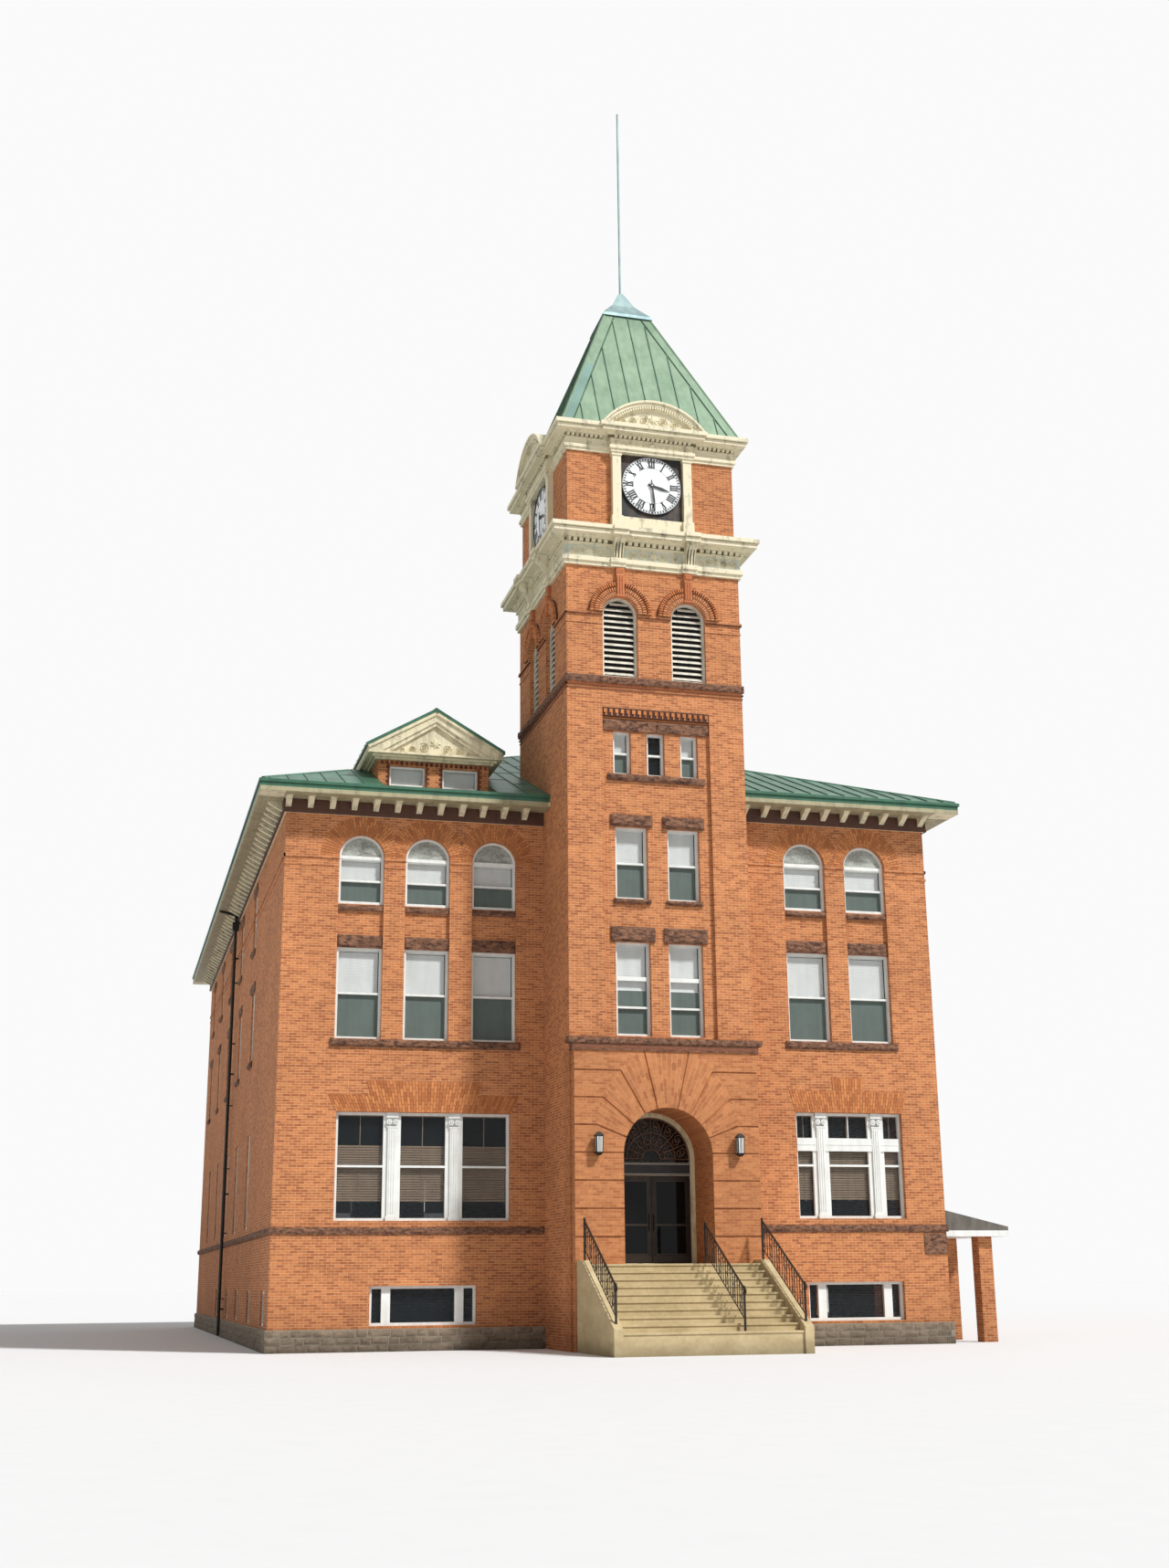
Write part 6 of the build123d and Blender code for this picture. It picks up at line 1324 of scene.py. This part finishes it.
# Doorway. Leaded scrollwork in the fanlight, a dark band left bare, glazed bronze leaves with
# kick plates, and two iron lanterns with milk glass.
def wire(wall, u, z, out, radius, closed=False, sides=6):
    """A round bar along a path in a wall's plane: circles about each point, in the plane of the
    path's normal and the wall's own, joined up along it."""
    u, z = np.asarray(u, float), np.asarray(z, float)
    if closed:
        du, dz = np.roll(u, -1) - np.roll(u, 1), np.roll(z, -1) - np.roll(z, 1)
    else:
        du, dz = np.gradient(u), np.gradient(z)
    size = np.hypot(du, dz)
    nu, nz = dz / size, -du / size
    phi = 2 * math.pi * np.arange(sides) / sides
    points = placed(wall, u[:, None] + radius * np.cos(phi) * nu[:, None],
                    out + radius * np.sin(phi), z[:, None] + radius * np.cos(phi) * nz[:, None])
    n = len(u)
    i, j = np.meshgrid(np.arange(n if closed else n - 1), np.arange(sides), indexing="ij")
    ahead, beside = (i + 1) % n, (j + 1) % sides
    quads = np.stack([i * sides + j, i * sides + beside, ahead * sides + beside,
                      ahead * sides + j], -1).reshape(-1, 4)
    faces = [quads]
    if not closed:
        ring = np.arange(sides)
        faces += [ring[::-1][None], ((n - 1) * sides + ring)[None]]
    return outward(points.reshape(-1, 3), faces)


def volute(u, z, size, start, turns, hand, count=22):
    """A spiral path: the radius falls from size to 0.15 of it as the angle turns."""
    s = np.linspace(0, 1, count)
    angle = start + hand * 2 * math.pi * turns * s
    radius = size * (1 - 0.85 * s)
    return u + radius * np.cos(angle), z + radius * np.sin(angle)


FANLIGHT_SPRING = 4.72
FANLIGHT_RINGS = (1.03, 0.66, 0.24)
LEAD_OUT = -0.045
spread = np.linspace(0, math.pi, 33)
scrollwork = [wire("doorway", radius * np.cos(spread), FANLIGHT_SPRING + radius * np.sin(spread),
                   LEAD_OUT, 0.013) for radius in FANLIGHT_RINGS]
reach = np.array(FANLIGHT_RINGS[::-1])
scrollwork += [wire("doorway", reach * math.cos(angle), FANLIGHT_SPRING + reach * math.sin(angle),
                    LEAD_OUT, 0.010) for angle in np.linspace(0, math.pi, 9)]
for angle in math.pi * (np.arange(8) + 0.5) / 8:
    for reach, hand in ((0.90, 1), (0.80, -1), (0.45, 1)):
        path = volute(reach * math.cos(angle), FANLIGHT_SPRING + reach * math.sin(angle), 0.12,
                      angle, 1.3, hand)
        scrollwork.append(wire("doorway", *path, LEAD_OUT, 0.009))
scroll_brown = painted("brown_leadwork", "#6E4C34", "#3D2A1E", amount=0.4, roughness=0.5)
band_black = painted("band_black", "#1B1A1C", "#33302E", amount=0.3)
new_piece("fanlight_scrolls", scrollwork, scroll_brown)
band = blocks("doorway", 0.0, (1.045, -0.02, 0.010, 4.30, 4.61))
lines = blocks("doorway", 0.0, (1.03, 0.008, 0.014, 4.325, 4.335),
               (1.03, 0.008, 0.014, 4.575, 4.585))
new_piece("door_band", [band], band_black)
new_piece("door_band_lines", [lines], white)

dark_glass = glazing("smoked_glass", "#0C0E10", 0.05, 0.15, 1.0, 1.2, 0.1)
leaf_trim = painted("brushed_bronze", "#3A322B", "#241F1B", amount=0.3, roughness=0.35, metal=0.7)
for name, sign in (("door_left", -1), ("door_right", 1)):
    middle = sign * 0.5245
    panes = blocks("doorway", middle, (0.4075, -0.0735, -0.068, 2.305, 4.165),
                   (0.4075, -0.092, -0.0865, 2.305, 4.165))
    new_piece(name + "_glass", [panes], dark_glass, body=name)
    strips = [blocks("doorway", middle, (0.4095, -0.062, -0.056, 2.302, 2.33),
                     (0.4095, -0.062, -0.056, 4.14, 4.168)),
              blocks("doorway", sign * 0.525, (0.425, -0.072, -0.052, 3.02, 3.075))]
    strips += [blocks("doorway", middle + side * 0.4025, (0.007, -0.062, -0.056, 2.33, 4.14))
               for side in (-1, 1)]
    strips.append(blocks("doorway", sign * 0.525, (0.505, -0.062, -0.0525, 2.12, 2.27)))
    new_piece(name + "_trim", strips, leaf_trim, body=name)

LANTERNS = (-1.865, 1.865)
LANTERN_AXIS = -3.255
# A lantern's foot and head: level, distance of its sides from the axis, and taper
LANTERN_ENDS = ((4.765, 0.0815, 0.9), (5.145, 0.0945, 1.05))
panes, cages = [], []
for centre in LANTERNS:
    for turn in range(4):
        across = np.array([math.cos(turn * math.pi / 2), math.sin(turn * math.pi / 2)])
        ahead = np.array([-across[1], across[0]])
        for target, side, width, lift in [(panes, 0.0, 0.062, 0.002)] + [
                (cages, s, 0.007, 0.006) for s in (-0.030, 0.0, 0.030)]:
            target.append(hexes([[
                (*((centre, LANTERN_AXIS) + (side + sign * width) * taper * across
                   + (reach + out) * ahead), z) for sign in (-1, 1) for out in (-0.004, lift)
                for z, reach, taper in LANTERN_ENDS]]))
milk = painted("milk_glass", "#F1F3EE", "#C9CCC4", amount=0.2, roughness=0.15)
new_piece("lantern_panes", panes, milk)
new_piece("lantern_bars", cages, black_iron)


# Stair railings. Forged scrolls and rings between the pickets, a volute at the foot of each
# handrail, and a ball on each newel.
NOSE_SLOPE = 0.171 / 0.30  # of the steps' edges, rise over tread
RAIL_START, RAIL_END = -6.15, -3.45
SCROLL_PITCH = 0.16
BALL = 0.034
forged = []
turn = np.linspace(0, 2 * math.pi, 17)[:-1]
lat, lon = np.meshgrid(np.linspace(0, math.pi, 9), turn, indexing="ij")
ball = BALL * np.stack([np.sin(lat) * np.cos(lon), np.sin(lat) * np.sin(lon), np.cos(lat)], -1)
index = np.arange(9 * 16).reshape(9, 16)
ball_faces = quads_of(np.concatenate([index, index[:, :1]], 1))
count = int(round((RAIL_END - RAIL_START) / SCROLL_PITCH))
places = RAIL_START + (np.arange(count) + 0.5) * (RAIL_END - RAIL_START) / count
for wall, base in (("rail_left", 0.09), ("rail_centre", 0.0), ("rail_right", 0.09)):
    foot = 0.521 + 0.15 * NOSE_SLOPE + base
    for number, y in enumerate(places):
        level = foot + (y - RAIL_START) * NOSE_SLOPE
        forged.append(wire(wall, y + 0.062 * np.cos(turn), level + 0.755 + 0.062 * np.sin(turn),
                           0.0, 0.0055, closed=True))
        hand = 1 if number % 2 else -1
        lower, upper = [np.stack(volute(y, level + lift, 0.058, start, 1.1, hand))
                        for lift, start in ((0.30, 0.0), (0.56, math.pi))]
        if number % 3 == 1:
            forged.append(wire(wall, *np.concatenate([lower[:, ::-1], upper], 1), 0.0, 0.0055))
    spiral = volute(RAIL_START - 0.062, foot + 0.79, 0.075, math.pi / 2, 1.35, 1)
    forged.append(wire(wall, *spiral, 0.0, 0.012))
    for y in (RAIL_START, RAIL_END):
        level = foot + (y - RAIL_START) * NOSE_SLOPE + 0.895
        forged.append((ball + (WALLS[wall][1], y, level), [ball_faces]))
new_piece("railing_scrolls", forged, black_iron)


# Downspout straps, forged round the pipe and pinned into the wall.
level = np.arange(1.2, 13.9, 2.1)
bend = np.linspace(0, math.pi / 2, 7)
elbow = np.concatenate([[(-10.34, 14.40), (-10.31, 14.22)], np.stack(
    [-9.86 + 0.14 * np.sin(bend), 13.98 + 0.14 * np.cos(bend)], -1), [(-9.72, 13.70)]])
straps = [wall_boxes("left", 15.372, 15.498, -0.01, 0.218, level, level + 0.035),
          blocks("left", 15.435, (0.1, 0.04, 0.27, 13.55, 13.84)),
          wire("spout", elbow[:, 0], elbow[:, 1], 0.0, 0.048, sides=12)]
new_piece("downspout_straps", straps, black_iron)


# Porch of the side entrance. White boards along its lean-to roof's ends and under it.
lanes = np.arange(8.22, 10.1, 0.14)
boards_white = [wall_boxes("porch", 8.20, 10.178, 0.0, 0.022, 2.745, 2.90),
                wall_boxes("porch_end", -1.48, 1.42, -0.02, 0.002, 2.745, 2.90),
                wall_boxes("porch", lanes, lanes + 0.134, -2.89, -0.01, 2.745, 2.757)]
new_piece("porch_boards", boards_white, white)
